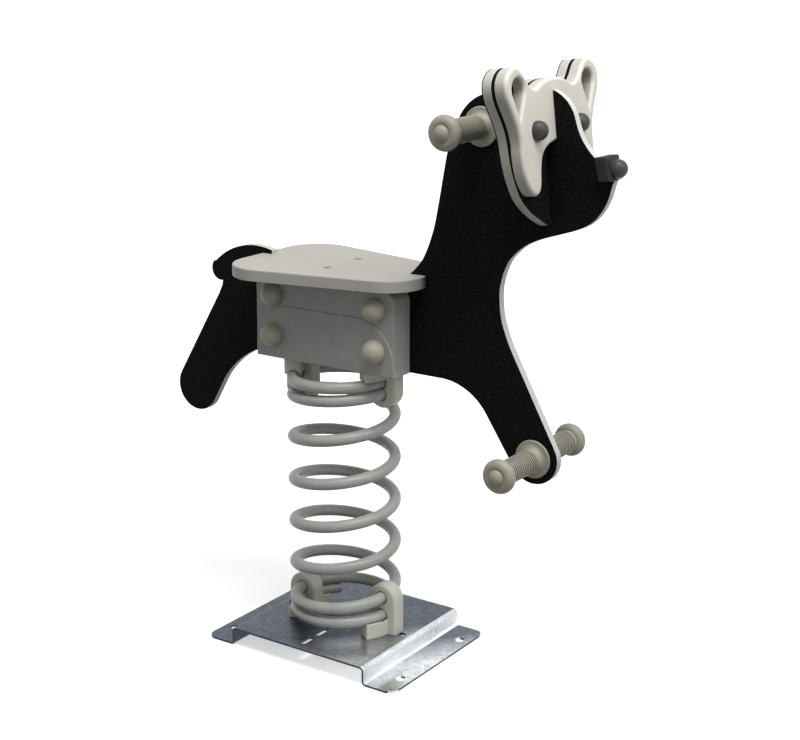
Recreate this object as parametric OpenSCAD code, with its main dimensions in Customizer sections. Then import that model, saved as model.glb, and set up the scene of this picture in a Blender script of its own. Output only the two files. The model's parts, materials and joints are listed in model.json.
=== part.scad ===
// Spring rider: an animal-shaped rocking toy on one wound steel spring, bolted to the ground.
// Millimetres. +X points to the animal's nose, +Z up, and the right-hand side is at -Y.
// The origin is on the spring's axis, in the plane that the ground plate's flanges stand on.

/* [Ground plate] */
// Width of the raised top, across its two folds
base_top_w = 281; // [264:1:300]
// Length of the plate, along its folds
base_l = 286; // [280:1:320]
// Height of the top face above the ground
base_h = 33; // [30:1:45]
// Thickness of the sheet
base_t = 4; // [3:0.5:5]
// Inside radius of the folds
base_bend_r = 4; // [2:0.5:6]
// Width of each flange, from the fold to its edge
flange_w = 58; // [50:1:70]
// Radius of the flanges' outer corners
flange_corner_r = 18; // [5:1:25]
// Diameter of the anchor holes
anchor_d = 16; // [12:1:18]
// Distance between anchor holes across the folds
anchor_spacing_x = 358; // [350:1:364]
// Distance between anchor holes along the folds
anchor_spacing_y = 182; // [150:1:210]
// Length of the slots for the clamp bolts
slot_l = 30; // [26:1:32]
// Radius from the spring's axis to the middle of the inner slots
slot_inner_r = 71; // [68:1:74]
// Radius from the spring's axis to the middle of the outer slots
slot_outer_r = 112; // [108:1:114]

/* [Spring] */
// Diameter of the wire
wire_d = 20; // [17:0.5:20.2]
// Radius from the spring's axis to the wire's middle
coil_r = 86.5; // [84:0.5:90]
// Number of turns
coil_turns = 7.75; // [7.75:1:9.75]
// Height from the wire's middle at one end to its middle at the other
coil_h = 430; // [400:5:500]
// Angle at which the lower end lies
coil_start = 133; // [128:1:138]
// Rise of one closed end turn
closed_pitch = 20.6; // [20.6:0.1:22]
// Turns over which the rise grows from closed to free
ramp_turns = 0.85; // [0.7:0.05:1]
// Height of the end wire's middle above the face that carries the clamps
coil_seat = 20.6; // [20:0.2:24]

/* [Clamps] */
// Width of a clamp, measured outwards from the spring's axis
clamp_w = 56; // [54:1:60]
// Thickness of a clamp, along the wire
clamp_t = 28; // [26:1:34]
// Height of the tall clamps
clamp_tall_h = 88; // [86:1:96]
// Height of the short clamps
clamp_short_h = 68; // [64:1:76]
// Radius of the clamps' edges
clamp_edge_r = 5; // [2:0.5:7]
// Width of a clamp's feet
foot_w = 28; // [26:1:32]
// Half of the angle that the feet cover
foot_angle = 33; // [26:1:34]
// How far the wire sinks into the feet
cradle_depth = 4; // [3:0.5:6]
// Distance from the wire's middle to each clamp bolt
clamp_bolt_offset = 19.5; // [19.2:0.1:20]
// Depth to which the clamp bolts are screwed in
clamp_bolt_depth = 36; // [24:1:42]

/* [Saddle bracket] */
// Thickness of the saddle's base
saddle_t = 6; // [5:0.5:8]
// Width of the saddle's base
saddle_w = 96; // [80:1:100]
// How far the saddle reaches past the clamps
saddle_margin = 8; // [6:0.5:12]
// Thickness of the saddle's two cheeks
cheek_t = 5; // [4:0.5:6]
// Height of the cheeks' top edge above the saddle's underside
cheek_h = 131; // [124:1:140]
// Radius of the cheeks' top corners
cheek_corner_r = 12; // [4:1:16]

/* [Side boxes] */
// Length of the side boxes
box_l = 281; // [270:1:300]
// Height of the side boxes
box_h = 144.3; // [140:0.1:160]
// Thickness of one inner block
inner_block_t = 23.5; // [20:0.5:30]
// Thickness of one outer block
outer_block_t = 23.5; // [23:0.5:30]
// Radius of the boxes' top corners
box_corner_r = 25; // [10:1:28]
// Height of the raised arch on the outer faces
relief_h = 92; // [80:1:100]
// Radius of the raised arch's corners
relief_r = 72; // [30:1:78]
// How far the arch stands out
relief_t = 2; // [1:0.5:4]
// Distance between the through rods, along the box
rod_spacing_x = 209.4; // [204:0.2:214]
// Height of the lower rods above the box's underside
rod_low_z = 40; // [34:1:46]
// Distance between the lower and upper rods
rod_spacing_z = 69; // [60:1:74]
// Diameter of the dome caps
dome_d = 40.4; // [38:0.2:43]
// Height of the dome caps
dome_h = 23; // [22:0.5:28]
// Wall of the dome caps
dome_wall = 3; // [2:0.1:3.2]

/* [Seat] */
// Thickness of the seat
seat_t = 20; // [16:0.5:24]
// Distance from the spring's axis to the seat's rear edge
seat_rear = 166; // [160:1:175]
// Distance from the spring's axis to the seat's front edge
seat_front = 170; // [162:1:178]
// Half of the seat's greatest width
seat_half_w = 127.5; // [115:0.5:138]
// Radius of the rear corners
seat_rear_r = 66; // [50:1:75]
// Radius of the front corners
seat_front_r = 62; // [45:1:64]
// Half of the seat's width at its front corners
seat_front_half_w = 87; // [78:1:95]
// Distance of the seat bolts from the middle
seat_bolt_y = 43; // [42:0.5:45]
// Length of the seat bolts below the seat
seat_bolt_l = 50; // [40:1:60]

/* [Body panel] */
// Length of the animal ahead of the seat's neck slot, to the middle of the nose
front_l = 344.1; // [330:0.1:370]
// Length of the animal behind the seat
rear_l = 201; // [189:1:219]
// Height of the head's highest point above the seat
head_rise = 343.9; // [330:0.1:365]
// How far the legs reach below the side boxes
leg_drop = 144.8; // [130:0.1:160]
// Thickness of the body panel
panel_t = 15; // [13:0.5:18]
// Thickness of each coloured skin
skin_t = 1; // [0.6:0.1:1.5]
// Where the front of the neck slot in the seat begins
neck_x = 139.5; // [136:0.5:142]
// How far the tail's hook reaches over the seat
hook_l = 21; // [13:1:27]

/* [Head] */
// Greatest width of the head's sheets
face_w = 275; // [265:1:285]
// Angle by which the head leans back
face_tilt = 6.95; // [4:0.05:9]
// Thickness of the front plate
front_plate_t = 20; // [16:0.5:24]
// Thickness of the spacer sheet
spacer_t = 5; // [3:0.5:8]
// Thickness of the rear plate without its skin
rear_plate_t = 15; // [12:0.5:20]
// Radius of the holes in the ears
ear_hole_r = 17; // [14:0.5:20]
// Diameter of the eyes
eye_d = 29.4; // [24:0.2:34]
// Height of the eyes
eye_h = 17.5; // [15:0.5:22]
// Distance of the eyes from the middle
eye_y = 63; // [56:0.5:68]
// Distance of the eyes below the top of the panel slot
eye_drop = 54.4; // [46:0.2:60]
// Thickness of the steel of the head brackets
bracket_t = 3; // [2:0.5:5]
// Height of the head brackets
bracket_h = 30; // [24:1:40]
// Length of the head brackets' legs
bracket_leg = 30; // [26:1:34]

/* [Nose] */
// Width of the nose block
nose_w = 46; // [38:0.5:52]
// Length of the nose block
nose_l = 19.5; // [18:0.5:24]
// Height of the nose block
nose_h = 36; // [32:0.5:40]
// Wall in front of the snout
nose_wall = 6; // [5:0.5:8]
// Diameter of the nose dome
nose_dome_d = 28; // [22:0.5:32]
// Height of the nose dome
nose_dome_h = 19.5; // [17:0.5:25]

/* [Grips] */
// Diameter of the hand grips and foot pegs
grip_d = 38; // [34:0.5:42]
// Distance from the panel to the middle of the end knob
grip_l = 103; // [95:1:120]
// Diameter of the flange against the panel
grip_flange_d = 62; // [58:1:70]
// Thickness of that flange
grip_flange_t = 13; // [10:0.5:16]
// Diameter of the end knob
knob_d = 54.5; // [51:0.5:60]
// Thickness of the end knob
knob_t = 21; // [20:0.5:23]
// Number of ribs on a grip
rib_count = 15; // [8:1:16]
// Distance between ribs
rib_pitch = 4.9; // [4.6:0.1:5]
// Height of the ribs
rib_h = 1.3; // [0.6:0.1:2]
// Diameter of the domes in the knobs
grip_cap_d = 30; // [27:0.5:32]
// How far those domes stand past the knob
grip_cap_h = 7; // [4:0.5:10]

/* [Fasteners and fits] */
// Diameter of the clamp bolts and the box rods
bolt_d = 10; // [8:0.5:10.5]
// Diameter of the grip rods
grip_rod_d = 12; // [10:0.5:12.5]
// Diameter of the seat bolts
seat_bolt_d = 8; // [6:0.5:9]
// Diameter of the small bolts of the head
small_bolt_d = 6; // [4:0.5:7]
// Gap between pieces that lie on each other
fit = 0.3; // [0.2:0.05:0.5]
// Gap round a screw in its hole
screw_gap = 0.2; // [0.1:0.05:0.4]
// Gap round the wire in a clamp
wire_gap = 0.4; // [0.3:0.05:0.6]

/* [Hidden] */

// Colours
galvanised = [0.55, 0.60, 0.68];
cast_beige = [0.68, 0.67, 0.62];
spring_grey = [0.58, 0.58, 0.57];
panel_black = [0.09, 0.09, 0.09];
core_white = [0.85, 0.85, 0.84];
box_grey = [0.47, 0.47, 0.46];
seat_grey = [0.74, 0.73, 0.70];
cap_olive = [0.58, 0.57, 0.49];
face_white = [0.86, 0.86, 0.83];
dark_grey = [0.33, 0.33, 0.33];
steel = [0.70, 0.71, 0.73];

// Step of the arcs in degrees, and the steps between two points of a smooth curve
arc_step = 4;
curve_steps = 5;
// How far a cutting shape stands past what it cuts
over = 1;

// Heights
wire_r = wire_d / 2;
ride_h = base_h + 2 * coil_seat + coil_h;
seat_top = ride_h + box_h + seat_t;
clamp_r = coil_r;

// Heads, nuts and washers, from the thread's diameter
head_h_per_d = 0.64;
head_w_per_d = 1.7;
nut_h_per_d = 0.8;
washer_d_per_d = 2;
washer_t = 2;
head_h = head_h_per_d * bolt_d;
nut_h = nut_h_per_d * bolt_d;
saddle_l = 2 * (clamp_r + clamp_w / 2 + saddle_margin);
notch_h = saddle_t + washer_t + head_h + over;

// Places of the rods and bolts
rod_places = [for (x = [-1, 1], z = [0, 1]) [x * rod_spacing_x / 2, rod_low_z + z * rod_spacing_z]];
clamp_bolt_places = [for (s = [-1, 1], o = [-1, 1]) s * (clamp_r + o * clamp_bolt_offset)];

// The animal is drawn at these lengths, with heights counted up from the side boxes' underside
drawn_front_l = 344.1;
drawn_rear_l = 201;
drawn_head_rise = 343.9;
drawn_leg_drop = 144.8;
drawn_neck = 139.5;
drawn_seat_rear = 166;
drawn_seat_top = 164.3;
// A drawn point, counted up from the seat's top
function above_seat(p) = [p.x, p.y + drawn_seat_top];
// The place of a drawn point on an animal of the lengths above, whose seat and boxes may be larger or smaller
function placed_x(x) =
    x > drawn_neck ? neck_x + (x - drawn_neck) * front_l / drawn_front_l :
    x > 0 ? x * neck_x / drawn_neck :
    x > -drawn_seat_rear ? x * seat_rear / drawn_seat_rear :
    (x + drawn_seat_rear) * rear_l / drawn_rear_l - seat_rear;
function placed_z(z) =
    z > drawn_seat_top ? seat_top + (z - drawn_seat_top) * head_rise / drawn_head_rise :
    z > 0 ? ride_h + z * (box_h + seat_t) / drawn_seat_top :
    ride_h + z * leg_drop / drawn_leg_drop;
function placed(points) = [for (p = points) [placed_x(p.x), placed_z(p.y)]];

drawn_peg = [373.6, -103.1];
hand_grip_at = placed([above_seat([271, 243.2])])[0];
foot_peg_at = placed([drawn_peg])[0];
face_at = placed([above_seat([391.6, 304.5])])[0];
nose_at = placed([above_seat([483.6, 196.2])])[0];
// The nose block leans as the snout does
nose_tilt = 14;
nose_top_slope = 6;

// Points from angle a0 to a1 round a centre
function arc(centre, r, a0, a1) =
    let (n = max(1, ceil(abs(a1 - a0) / arc_step)))
    [for (i = [0:n]) centre + r * [cos(a0 + (a1 - a0) * i / n), sin(a0 + (a1 - a0) * i / n)]];

// A smooth curve through the points p
function smooth(p) =
    concat([for (i = [0:len(p) - 2], k = [0:curve_steps - 1])
        let (t = k / curve_steps, a = p[max(i - 1, 0)], b = p[i], c = p[i + 1], d = p[min(i + 2, len(p) - 1)])
        0.5 * (2 * b + (c - a) * t + (2 * a - 5 * b + 4 * c - d) * t * t
            + (3 * b - 3 * c + d - a) * t * t * t)], [p[len(p) - 1]]);

// Half an outline, from the middle line round to it, and its mirror image; flip is [-1, 1] or [1, -1]
function mirrored(half, flip) =
    concat(half, [for (i = [len(half) - 2:-1:1]) [half[i].x * flip.x, half[i].y * flip.y]]);

// Angle of the outer side that touches circle 1 and then circle 2
function tangent_angle(c1, r1, c2, r2) =
    atan2(c2.y - c1.y, c2.x - c1.x) + acos((r1 - r2) / norm(c2 - c1));

// Stands a flat shape up in the XZ plane, between y0 and y1
module upright(y0, y1) {
    translate([0, y1, 0]) rotate([90, 0, 0]) linear_extrude(y1 - y0) children();
}

// Copies children to the other side of the middle plane
module both_sides() {
    children();
    mirror([0, 1, 0]) children();
}

module rounded_rect(w, h, r) {
    square([w - 2 * r, h], center = true);
    square([w, h - 2 * r], center = true);
    for (x = [-1, 1], y = [-1, 1]) translate([x * (w / 2 - r), y * (h / 2 - r)]) circle(r, $fn = 48);
}

// A round bar along y, between y0 and y1
module bar(x, z, d, y0, y1, sides = 48) {
    translate([x, y1, z]) rotate([90, 0, 0]) cylinder(d = d, h = y1 - y0, $fn = sides);
}

// A hexagon's corner diameter from its width over the flats
function hex_d(d) = head_w_per_d * d / cos(30);

// Ground plate

module quarter_ring(centre, ri, quadrant) {
    translate(centre) intersection() {
        difference() {
            circle(ri + base_t, $fn = 64);
            circle(ri, $fn = 64);
        }
        rotate(90 * quadrant) square(ri + base_t);
    }
}

module folded_section_half() {
    fold_x = base_top_w / 2;
    outer_r = base_bend_r + base_t;
    translate([0, base_h - base_t]) square([fold_x - outer_r, base_t]);
    quarter_ring([fold_x - outer_r, base_h - outer_r], base_bend_r, 0);
    translate([fold_x - base_t, outer_r]) square([base_t, base_h - 2 * outer_r]);
    quarter_ring([fold_x + base_bend_r, outer_r], base_bend_r, 2);
    translate([fold_x + base_bend_r, 0]) square([flange_w - base_bend_r, base_t]);
}

module slot_hole(r) {
    run = slot_l - bolt_d - over;
    for (e = [-1, 1])
        translate([r + e * run / 2, 0, 0]) cylinder(d = bolt_d + over, h = base_h + over, $fn = 48);
    translate([r - run / 2, -(bolt_d + over) / 2, 0]) cube([run, bolt_d + over, base_h + over]);
}

module base_plate() {
    color(galvanised) difference() {
        intersection() {
            upright(-base_l / 2, base_l / 2) {
                folded_section_half();
                mirror([1, 0]) folded_section_half();
            }
            linear_extrude(base_h) rounded_rect(base_top_w + 2 * flange_w, base_l, flange_corner_r);
        }
        for (x = [-1, 1], y = [-1, 1])
            translate([x * anchor_spacing_x / 2, y * anchor_spacing_y / 2, -over])
                cylinder(d = anchor_d, h = base_t + 2 * over, $fn = 64);
        for (a = [0:90:270], r = [slot_inner_r, slot_outer_r])
            rotate([0, 0, a]) translate([0, 0, base_t]) slot_hole(r);
    }
}

// Spring

// Part of the free rise that is reached after s turns of the ramp, integrated
function ramp_area(t) = t * t * t - t * t * t * t / 2;
end_turns = 1 + ramp_turns;
// Free rise of a turn, so that both ends and the middle add up to the spring's height
free_pitch = (coil_h - 2 * closed_pitch * end_turns + closed_pitch * ramp_turns)
    / (coil_turns - 2 * end_turns + ramp_turns);
function end_rise(s) =
    closed_pitch * s + (free_pitch - closed_pitch) * ramp_turns * ramp_area(max(0, s - 1) / ramp_turns);
// Height of the wire's middle after s turns from the lower end
function wire_z(s) = base_h + coil_seat + (
    s < end_turns ? end_rise(s) :
    s > coil_turns - end_turns ? coil_h - end_rise(coil_turns - s) :
    end_rise(end_turns) + free_pitch * (s - end_turns));
function wire_point(s) = let (a = coil_start + 360 * s) [coil_r * cos(a), coil_r * sin(a), wire_z(s)];
// Turns at which the wire passes an angle, counted from the lower end
function pass_turn(angle, k) = (((angle - coil_start) % 360 + 360) % 360) / 360 + k;

rings_per_turn = 32;
wire_sides = 8;
// The ends run straight for one wire diameter
straight_turns = wire_d / (2 * PI * coil_r);
wound_rings = round((coil_turns - 2 * straight_turns) * rings_per_turn);
function wound_s(i) = straight_turns + (coil_turns - 2 * straight_turns) * i / wound_rings;
function unit(v) = v / norm(v);
function wire_way(s) = let (a = coil_start + 360 * s, e = 0.001)
    unit([-2 * PI * coil_r * sin(a), 2 * PI * coil_r * cos(a), (wire_z(s + e) - wire_z(s - e)) / (2 * e)]);
first_way = wire_way(wound_s(0));
last_way = wire_way(wound_s(wound_rings));
// Each ring has its middle and the direction of the wire there
wire_rings = concat(
    [[wire_point(wound_s(0)) - wire_d * first_way, first_way]],
    [for (i = [0:wound_rings]) [wire_point(wound_s(i)), wire_way(wound_s(i))]],
    [[wire_point(wound_s(wound_rings)) + wire_d * last_way, last_way]]);

function ring_points(ring) =
    let (out = unit([ring[0].x, ring[0].y, 0] - ([ring[0].x, ring[0].y, 0] * ring[1]) * ring[1]),
        up = cross(out, ring[1]))
    [for (k = [0:wire_sides - 1]) let (a = 360 * k / wire_sides)
        ring[0] + wire_r * (cos(a) * out + sin(a) * up)];

// Least gap between neighbouring turns, measured between the rings' middles
quarter_turn = rings_per_turn / 4;
near_turn = [for (i = [0:len(wire_rings) - 1], k = [-quarter_turn:quarter_turn])
    let (j = i + rings_per_turn + k)
    if (j < len(wire_rings)) norm(wire_rings[i][0] - wire_rings[j][0]) - wire_d];
echo(least_gap_between_turns = min(near_turn));

module coil_spring() {
    n = len(wire_rings);
    m = wire_sides;
    sides = [for (i = [0:n - 2], k = [0:m - 1], h = [0, 1])
        let (a = i * m + k, b = i * m + (k + 1) % m)
        h == 0 ? [a, b, b + m] : [a, b + m, a + m]];
    ends = [for (k = [1:m - 2], h = [0, 1])
        h == 0 ? [0, k + 1, k] : [(n - 1) * m, (n - 1) * m + k, (n - 1) * m + k + 1]];
    color(spring_grey)
        polyhedron(points = [for (r = wire_rings) each ring_points(r)], faces = concat(sides, ends));
}

// Clamps

// Half round top of a clamp, with its edges rounded
module clamp_end() {
    r = clamp_w / 2;
    e = clamp_edge_r;
    rotate([90, 0, 0]) rotate_extrude($fn = 96) {
        translate([0, -clamp_t / 2]) square([r - e, clamp_t]);
        translate([0, -clamp_t / 2 + e]) square([r, clamp_t - 2 * e]);
        for (s = [-1, 1]) translate([r - e, s * (clamp_t / 2 - e)]) circle(e, $fn = 32);
    }
}

// One pass of the wire through a clamp at this angle; the hole is wide enough for the wire's curve
// and for its flats between two rings
module wire_bore(angle, s) {
    sag = clamp_t * clamp_t / 8 / coil_r + coil_r * (1 - cos(180 / rings_per_turn));
    slope = atan((wire_z(s + 0.01) - wire_z(s - 0.01)) / 0.02 / (2 * PI * coil_r));
    rotate([0, 0, angle]) translate([coil_r - sag / 2, 0, wire_z(s)]) rotate([slope - 90, 0, 0])
        cylinder(r = wire_r + wire_gap + sag / 2, h = clamp_t + 4 * clamp_edge_r, center = true, $fn = 64);
}

// One foot, on the side that turn points to, with a groove that the wire lies in
module clamp_foot(angle, s, turn, seat_z, way, foot_h) {
    mid = (foot_angle + asin(clamp_t / 2 / coil_r)) / 2;
    rise = abs(wire_z(s + foot_angle / 360) - wire_z(s)) / 2;
    z = wire_z(s + turn * mid / 360);
    r = wire_r + wire_gap + rise;
    rotate([0, 0, angle + (turn > 0 ? 0 : -foot_angle)])
        rotate_extrude(angle = foot_angle, $fn = 180) difference() {
            translate([clamp_r - foot_w / 2, way > 0 ? seat_z : seat_z - foot_h]) square([foot_w, foot_h]);
            translate([coil_r, z]) circle(r, $fn = 48);
            translate([coil_r - r, way > 0 ? z : z - foot_h]) square([2 * r, foot_h]);
        }
}

// A clamp at this angle; passes are the wire's turns through it, the first one next to the seat
module clamp(angle, seat_z, way, h, passes) {
    foot_h = abs(wire_z(passes[0]) - seat_z) - wire_r + cradle_depth;
    leg_h = h - clamp_w / 2;
    color(cast_beige) difference() {
        union() {
            rotate([0, 0, angle]) translate([clamp_r, 0, seat_z]) mirror([0, 0, way > 0 ? 0 : 1]) {
                linear_extrude(leg_h) rounded_rect(clamp_w, clamp_t, clamp_edge_r);
                translate([0, 0, leg_h]) clamp_end();
            }
            for (turn = [-1, 1]) clamp_foot(angle, passes[0], turn, seat_z, way, foot_h);
        }
        for (s = passes) wire_bore(angle, s);
        for (o = [-1, 1])
            rotate([0, 0, angle]) translate([clamp_r + o * clamp_bolt_offset, 0, seat_z])
                mirror([0, 0, way > 0 ? 0 : 1]) translate([0, 0, -over])
                    cylinder(d = bolt_d + 2 * screw_gap, h = clamp_bolt_depth + 3 * over, $fn = 48);
    }
}

module lower_clamp_front() {
    clamp(0, base_h, 1, clamp_tall_h, [pass_turn(0, 0), pass_turn(0, 1)]);
}

module lower_clamp_rear() {
    clamp(180, base_h, 1, clamp_short_h, [pass_turn(180, 0), pass_turn(180, 1)]);
}

last_pass = floor(coil_turns);

module upper_clamp_front() {
    clamp(0, ride_h, -1, clamp_short_h, [pass_turn(0, last_pass), pass_turn(0, last_pass - 1)]);
}

module upper_clamp_rear() {
    clamp(180, ride_h, -1, clamp_tall_h, [pass_turn(180, last_pass), pass_turn(180, last_pass - 1)]);
}

// A hexagon-headed bolt that points up from z = 0, with its head below
module hex_bolt(length) {
    cylinder(d = bolt_d, h = length, $fn = 48);
    translate([0, 0, -head_h]) cylinder(d = hex_d(bolt_d), h = head_h, $fn = 6);
}

module washer(d, t = washer_t) {
    difference() {
        cylinder(d = washer_d_per_d * d, h = t, $fn = 48);
        translate([0, 0, -over]) cylinder(d = d + 2 * screw_gap, h = t + 2 * over, $fn = 48);
    }
}

module lower_clamp_bolts() {
    z = base_h - base_t - washer_t;
    color(steel) for (x = clamp_bolt_places)
        translate([x, 0, z]) hex_bolt(base_t + washer_t + clamp_bolt_depth);
}

module lower_clamp_washers() {
    color(steel) for (x = clamp_bolt_places)
        translate([x, 0, base_h - base_t - washer_t]) washer(bolt_d);
}

module upper_clamp_bolts() {
    z = ride_h + saddle_t + washer_t;
    color(steel) for (x = clamp_bolt_places)
        translate([x, 0, z]) mirror([0, 0, 1]) hex_bolt(saddle_t + washer_t + clamp_bolt_depth);
}

module upper_clamp_washers() {
    color(steel) for (x = clamp_bolt_places) translate([x, 0, ride_h + saddle_t]) washer(bolt_d);
}

// Saddle bracket: a base over the clamps and two cheeks that hold the panel between them

cheek_y = panel_t / 2 + fit;

module cheek_outline() {
    w = saddle_l;
    r = cheek_corner_r;
    translate([-w / 2, ride_h]) square([w, cheek_h - r]);
    translate([-w / 2 + r, ride_h]) square([w - 2 * r, cheek_h]);
    for (s = [-1, 1]) translate([s * (w / 2 - r), ride_h + cheek_h - r]) circle(r, $fn = 48);
}

module saddle_bracket() {
    relief_w = washer_d_per_d * bolt_d + 4 * over;
    color(galvanised) difference() {
        union() {
            translate([-saddle_l / 2, -saddle_w / 2, ride_h]) cube([saddle_l, saddle_w, saddle_t]);
            both_sides() upright(cheek_y, cheek_y + cheek_t) cheek_outline();
        }
        for (x = clamp_bolt_places) {
            translate([x, 0, ride_h - over]) cylinder(d = bolt_d + over, h = saddle_t + 2 * over, $fn = 48);
            translate([x - relief_w / 2, -relief_w / 2, ride_h + saddle_t])
                cube([relief_w, relief_w, notch_h - saddle_t + over]);
        }
        for (p = rod_places) bar(p.x, ride_h + p.y, bolt_d + over, -saddle_w, saddle_w);
    }
}

// Room for the saddle bracket in the side boxes
module saddle_pocket() {
    l = saddle_l + 2 * over;
    w = saddle_w + 2 * over;
    cheeks_w = 2 * (cheek_y + cheek_t + fit);
    translate([-l / 2, -w / 2, ride_h - over]) cube([l, w, saddle_t + fit + over]);
    translate([-l / 2, -cheeks_w / 2, ride_h - over]) cube([l, cheeks_w, cheek_h + fit + over]);
}

// Snout and nose block: its side view is a leaning parallelogram about nose_at

nose_along = nose_l / 2 * [cos(nose_top_slope), sin(nose_top_slope)];
nose_up = nose_h / 2 * [-sin(nose_tilt), cos(nose_tilt)];
// How far up the snout fills the block, and where the screw is, as shares of half its size
snout_up = 0.65;
screw_back = 0.2;
// The snout inside the block, with a step on which the block stands
snout_in = 1 - 2 * nose_wall / nose_l;
snout_step = 0.9;
block_under = -nose_up * (1 + 2 * fit / nose_h);
snout_top = [
    nose_up * snout_up - nose_along, nose_up * snout_up + nose_along * snout_in,
    block_under + nose_along * snout_in, block_under + nose_along * snout_step
];
nose_screw_at = nose_at - nose_along * screw_back;
// The dome sits a little below the middle of the block's front
nose_dome_drop = 2.3;
nose_front = nose_at + nose_along - nose_dome_drop * unit(nose_up);
function behind_nose(p) = (p - nose_at + nose_along) * [cos(nose_tilt), sin(nose_tilt)] < -fit;

// Body panel

// The bridge of the nose runs into the back of the nose block
bridge = placed(arc(above_seat([529.4, 288.2]), 102.1, 194.3, 236));

body_outline = concat(
    // back of the neck, up to the head
    [[neck_x + fit, seat_top + fit]],
    placed(concat(smooth([for (p = [[148, 7.5], [162, 24], [172.5, 44.5], [180, 64.5], [186, 84.5],
        [194, 123], [201, 161], [208.5, 199], [217.5, 228], [229.7, 255.3]]) above_seat(p)]),
    arc(above_seat([295, 222.5]), 73, 150, 90),
    // forehead, bridge of the nose and snout
    arc(above_seat([373.2, 248.5]), 58.8, 72, 14.3))),
    [for (p = bridge) if (behind_nose(p)) p],
    [for (p = snout_top) nose_at + p],
    // under the nose, chin, throat and chest
    placed(concat(smooth([for (p = [[493.5, 171], [488.7, 153], [478.5, 132.5], [462, 114], [441, 102],
        [413.3, 92.3], [377.8, 80.5], [349.3, 67], [326.1, 46], [314.9, 26], [308.9, 6.5], [306.3, -13],
        [309.9, -50.5], [323, -87], [332, -105]]) above_seat(p)]),
    // front leg, belly and hind leg
    arc(drawn_peg, 41.7, 28.5, -146.5),
    arc([200, -102.7], 102.7, 33.5, 90),
    arc([-111.2, -171.7], 178, 105.3, 146.8),
    arc([-323.5, -97.2], 43.5, -33.2, -211.1),
    // haunch and tail
    smooth([[-265.3, 82.4], [-258, 97]]),
    arc(above_seat([-259.9, -38.8]), 20, -79, -225.4),
    arc(above_seat([-180.3, -119.6]), 130.8, 134.6, 74.1))),
    // round the seat
    [[hook_l - seat_rear, seat_top + fit], [-seat_rear - fit, seat_top + fit],
        [-seat_rear - fit, seat_top - seat_t - fit], [neck_x + fit, seat_top - seat_t - fit]]);

module body_sheet(y0, y1) {
    notch_l = saddle_l + 2 * over;
    difference() {
        upright(y0, y1) polygon(body_outline);
        translate([-notch_l / 2, -panel_t, ride_h - over]) cube([notch_l, 2 * panel_t, notch_h + over]);
        for (p = rod_places) bar(p.x, ride_h + p.y, bolt_d + 2 * screw_gap, -panel_t, panel_t);
        for (p = [hand_grip_at, foot_peg_at]) bar(p.x, p.y, grip_rod_d + 2 * screw_gap, -panel_t, panel_t);
        for (v = bracket_vs)
            face_frame() bar(bracket_bolt_x, v, small_bolt_d + 2 * screw_gap, -panel_t, panel_t);
        bar(nose_screw_at.x, nose_screw_at.y, small_bolt_d + 2 * screw_gap, -panel_t, panel_t);
    }
}

module body_core() {
    color(core_white) body_sheet(-panel_t / 2 + skin_t, panel_t / 2 - skin_t);
}

module body_skin_right() {
    color(panel_black) body_sheet(-panel_t / 2, -panel_t / 2 + skin_t);
}

module body_skin_left() {
    color(panel_black) body_sheet(panel_t / 2 - skin_t, panel_t / 2);
}

// Side boxes

inner_y0 = panel_t / 2 + fit;
inner_y1 = inner_y0 + inner_block_t;
outer_y0 = inner_y1 + fit;
outer_y1 = outer_y0 + outer_block_t;

module box_outline(l, h, r) {
    intersection() {
        translate([-l / 2, ride_h]) square([l, h]);
        union() {
            translate([-l / 2, ride_h]) square([l, h - r]);
            translate([-l / 2 + r, ride_h]) square([l - 2 * r, h]);
            for (s = [-1, 1]) translate([s * (l / 2 - r), ride_h + h - r]) circle(r, $fn = 96);
        }
    }
}

module rod_holes() {
    for (p = rod_places) bar(p.x, ride_h + p.y, bolt_d + 2 * screw_gap, 0, outer_y1 + relief_t + over);
}

module inner_block() {
    color(box_grey) difference() {
        upright(inner_y0, inner_y1) box_outline(box_l, box_h, box_corner_r);
        saddle_pocket();
        rod_holes();
    }
}

barrel_d = 14;
barrel_l = 16;
barrel_z = seat_top - seat_t - seat_bolt_l + barrel_d / 2;

module outer_block() {
    color(box_grey) difference() {
        union() {
            upright(outer_y0, outer_y1) box_outline(box_l, box_h, box_corner_r);
            upright(outer_y1 - over, outer_y1 + relief_t) box_outline(box_l, relief_h, relief_r);
        }
        saddle_pocket();
        rod_holes();
        translate([0, seat_bolt_y, barrel_z - barrel_d])
            cylinder(d = seat_bolt_d + 2 * screw_gap, h = seat_bolt_l + barrel_d, $fn = 48);
        bar(0, barrel_z, barrel_d + 2 * screw_gap, outer_y0 - over, seat_bolt_y + barrel_l / 2 + screw_gap);
    }
}

module inner_block_left() {
    inner_block();
}

module inner_block_right() {
    mirror([0, 1, 0]) inner_block();
}

module outer_block_left() {
    outer_block();
}

module outer_block_right() {
    mirror([0, 1, 0]) outer_block();
}

// Face of the box at a rod: the lower rods come out through the raised arch
function rod_face(p) = outer_y1 + (p.y + dome_d / 2 < relief_h ? relief_t : 0);

cap_seat_d = dome_d - 2 * dome_wall - 2 * fit;
rod_tail = 3;

module through_rods() {
    color(steel) for (p = rod_places) {
        rod_end = rod_face(p) + washer_t + nut_h + rod_tail;
        bar(p.x, ride_h + p.y, bolt_d, -rod_end, rod_end);
    }
}

module rod_washers() {
    color(steel) both_sides() for (p = rod_places)
        difference() {
            bar(p.x, ride_h + p.y, cap_seat_d, rod_face(p), rod_face(p) + washer_t);
            bar(p.x, ride_h + p.y, bolt_d + 2 * screw_gap, 0, rod_face(p) + nut_h);
        }
}

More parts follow.
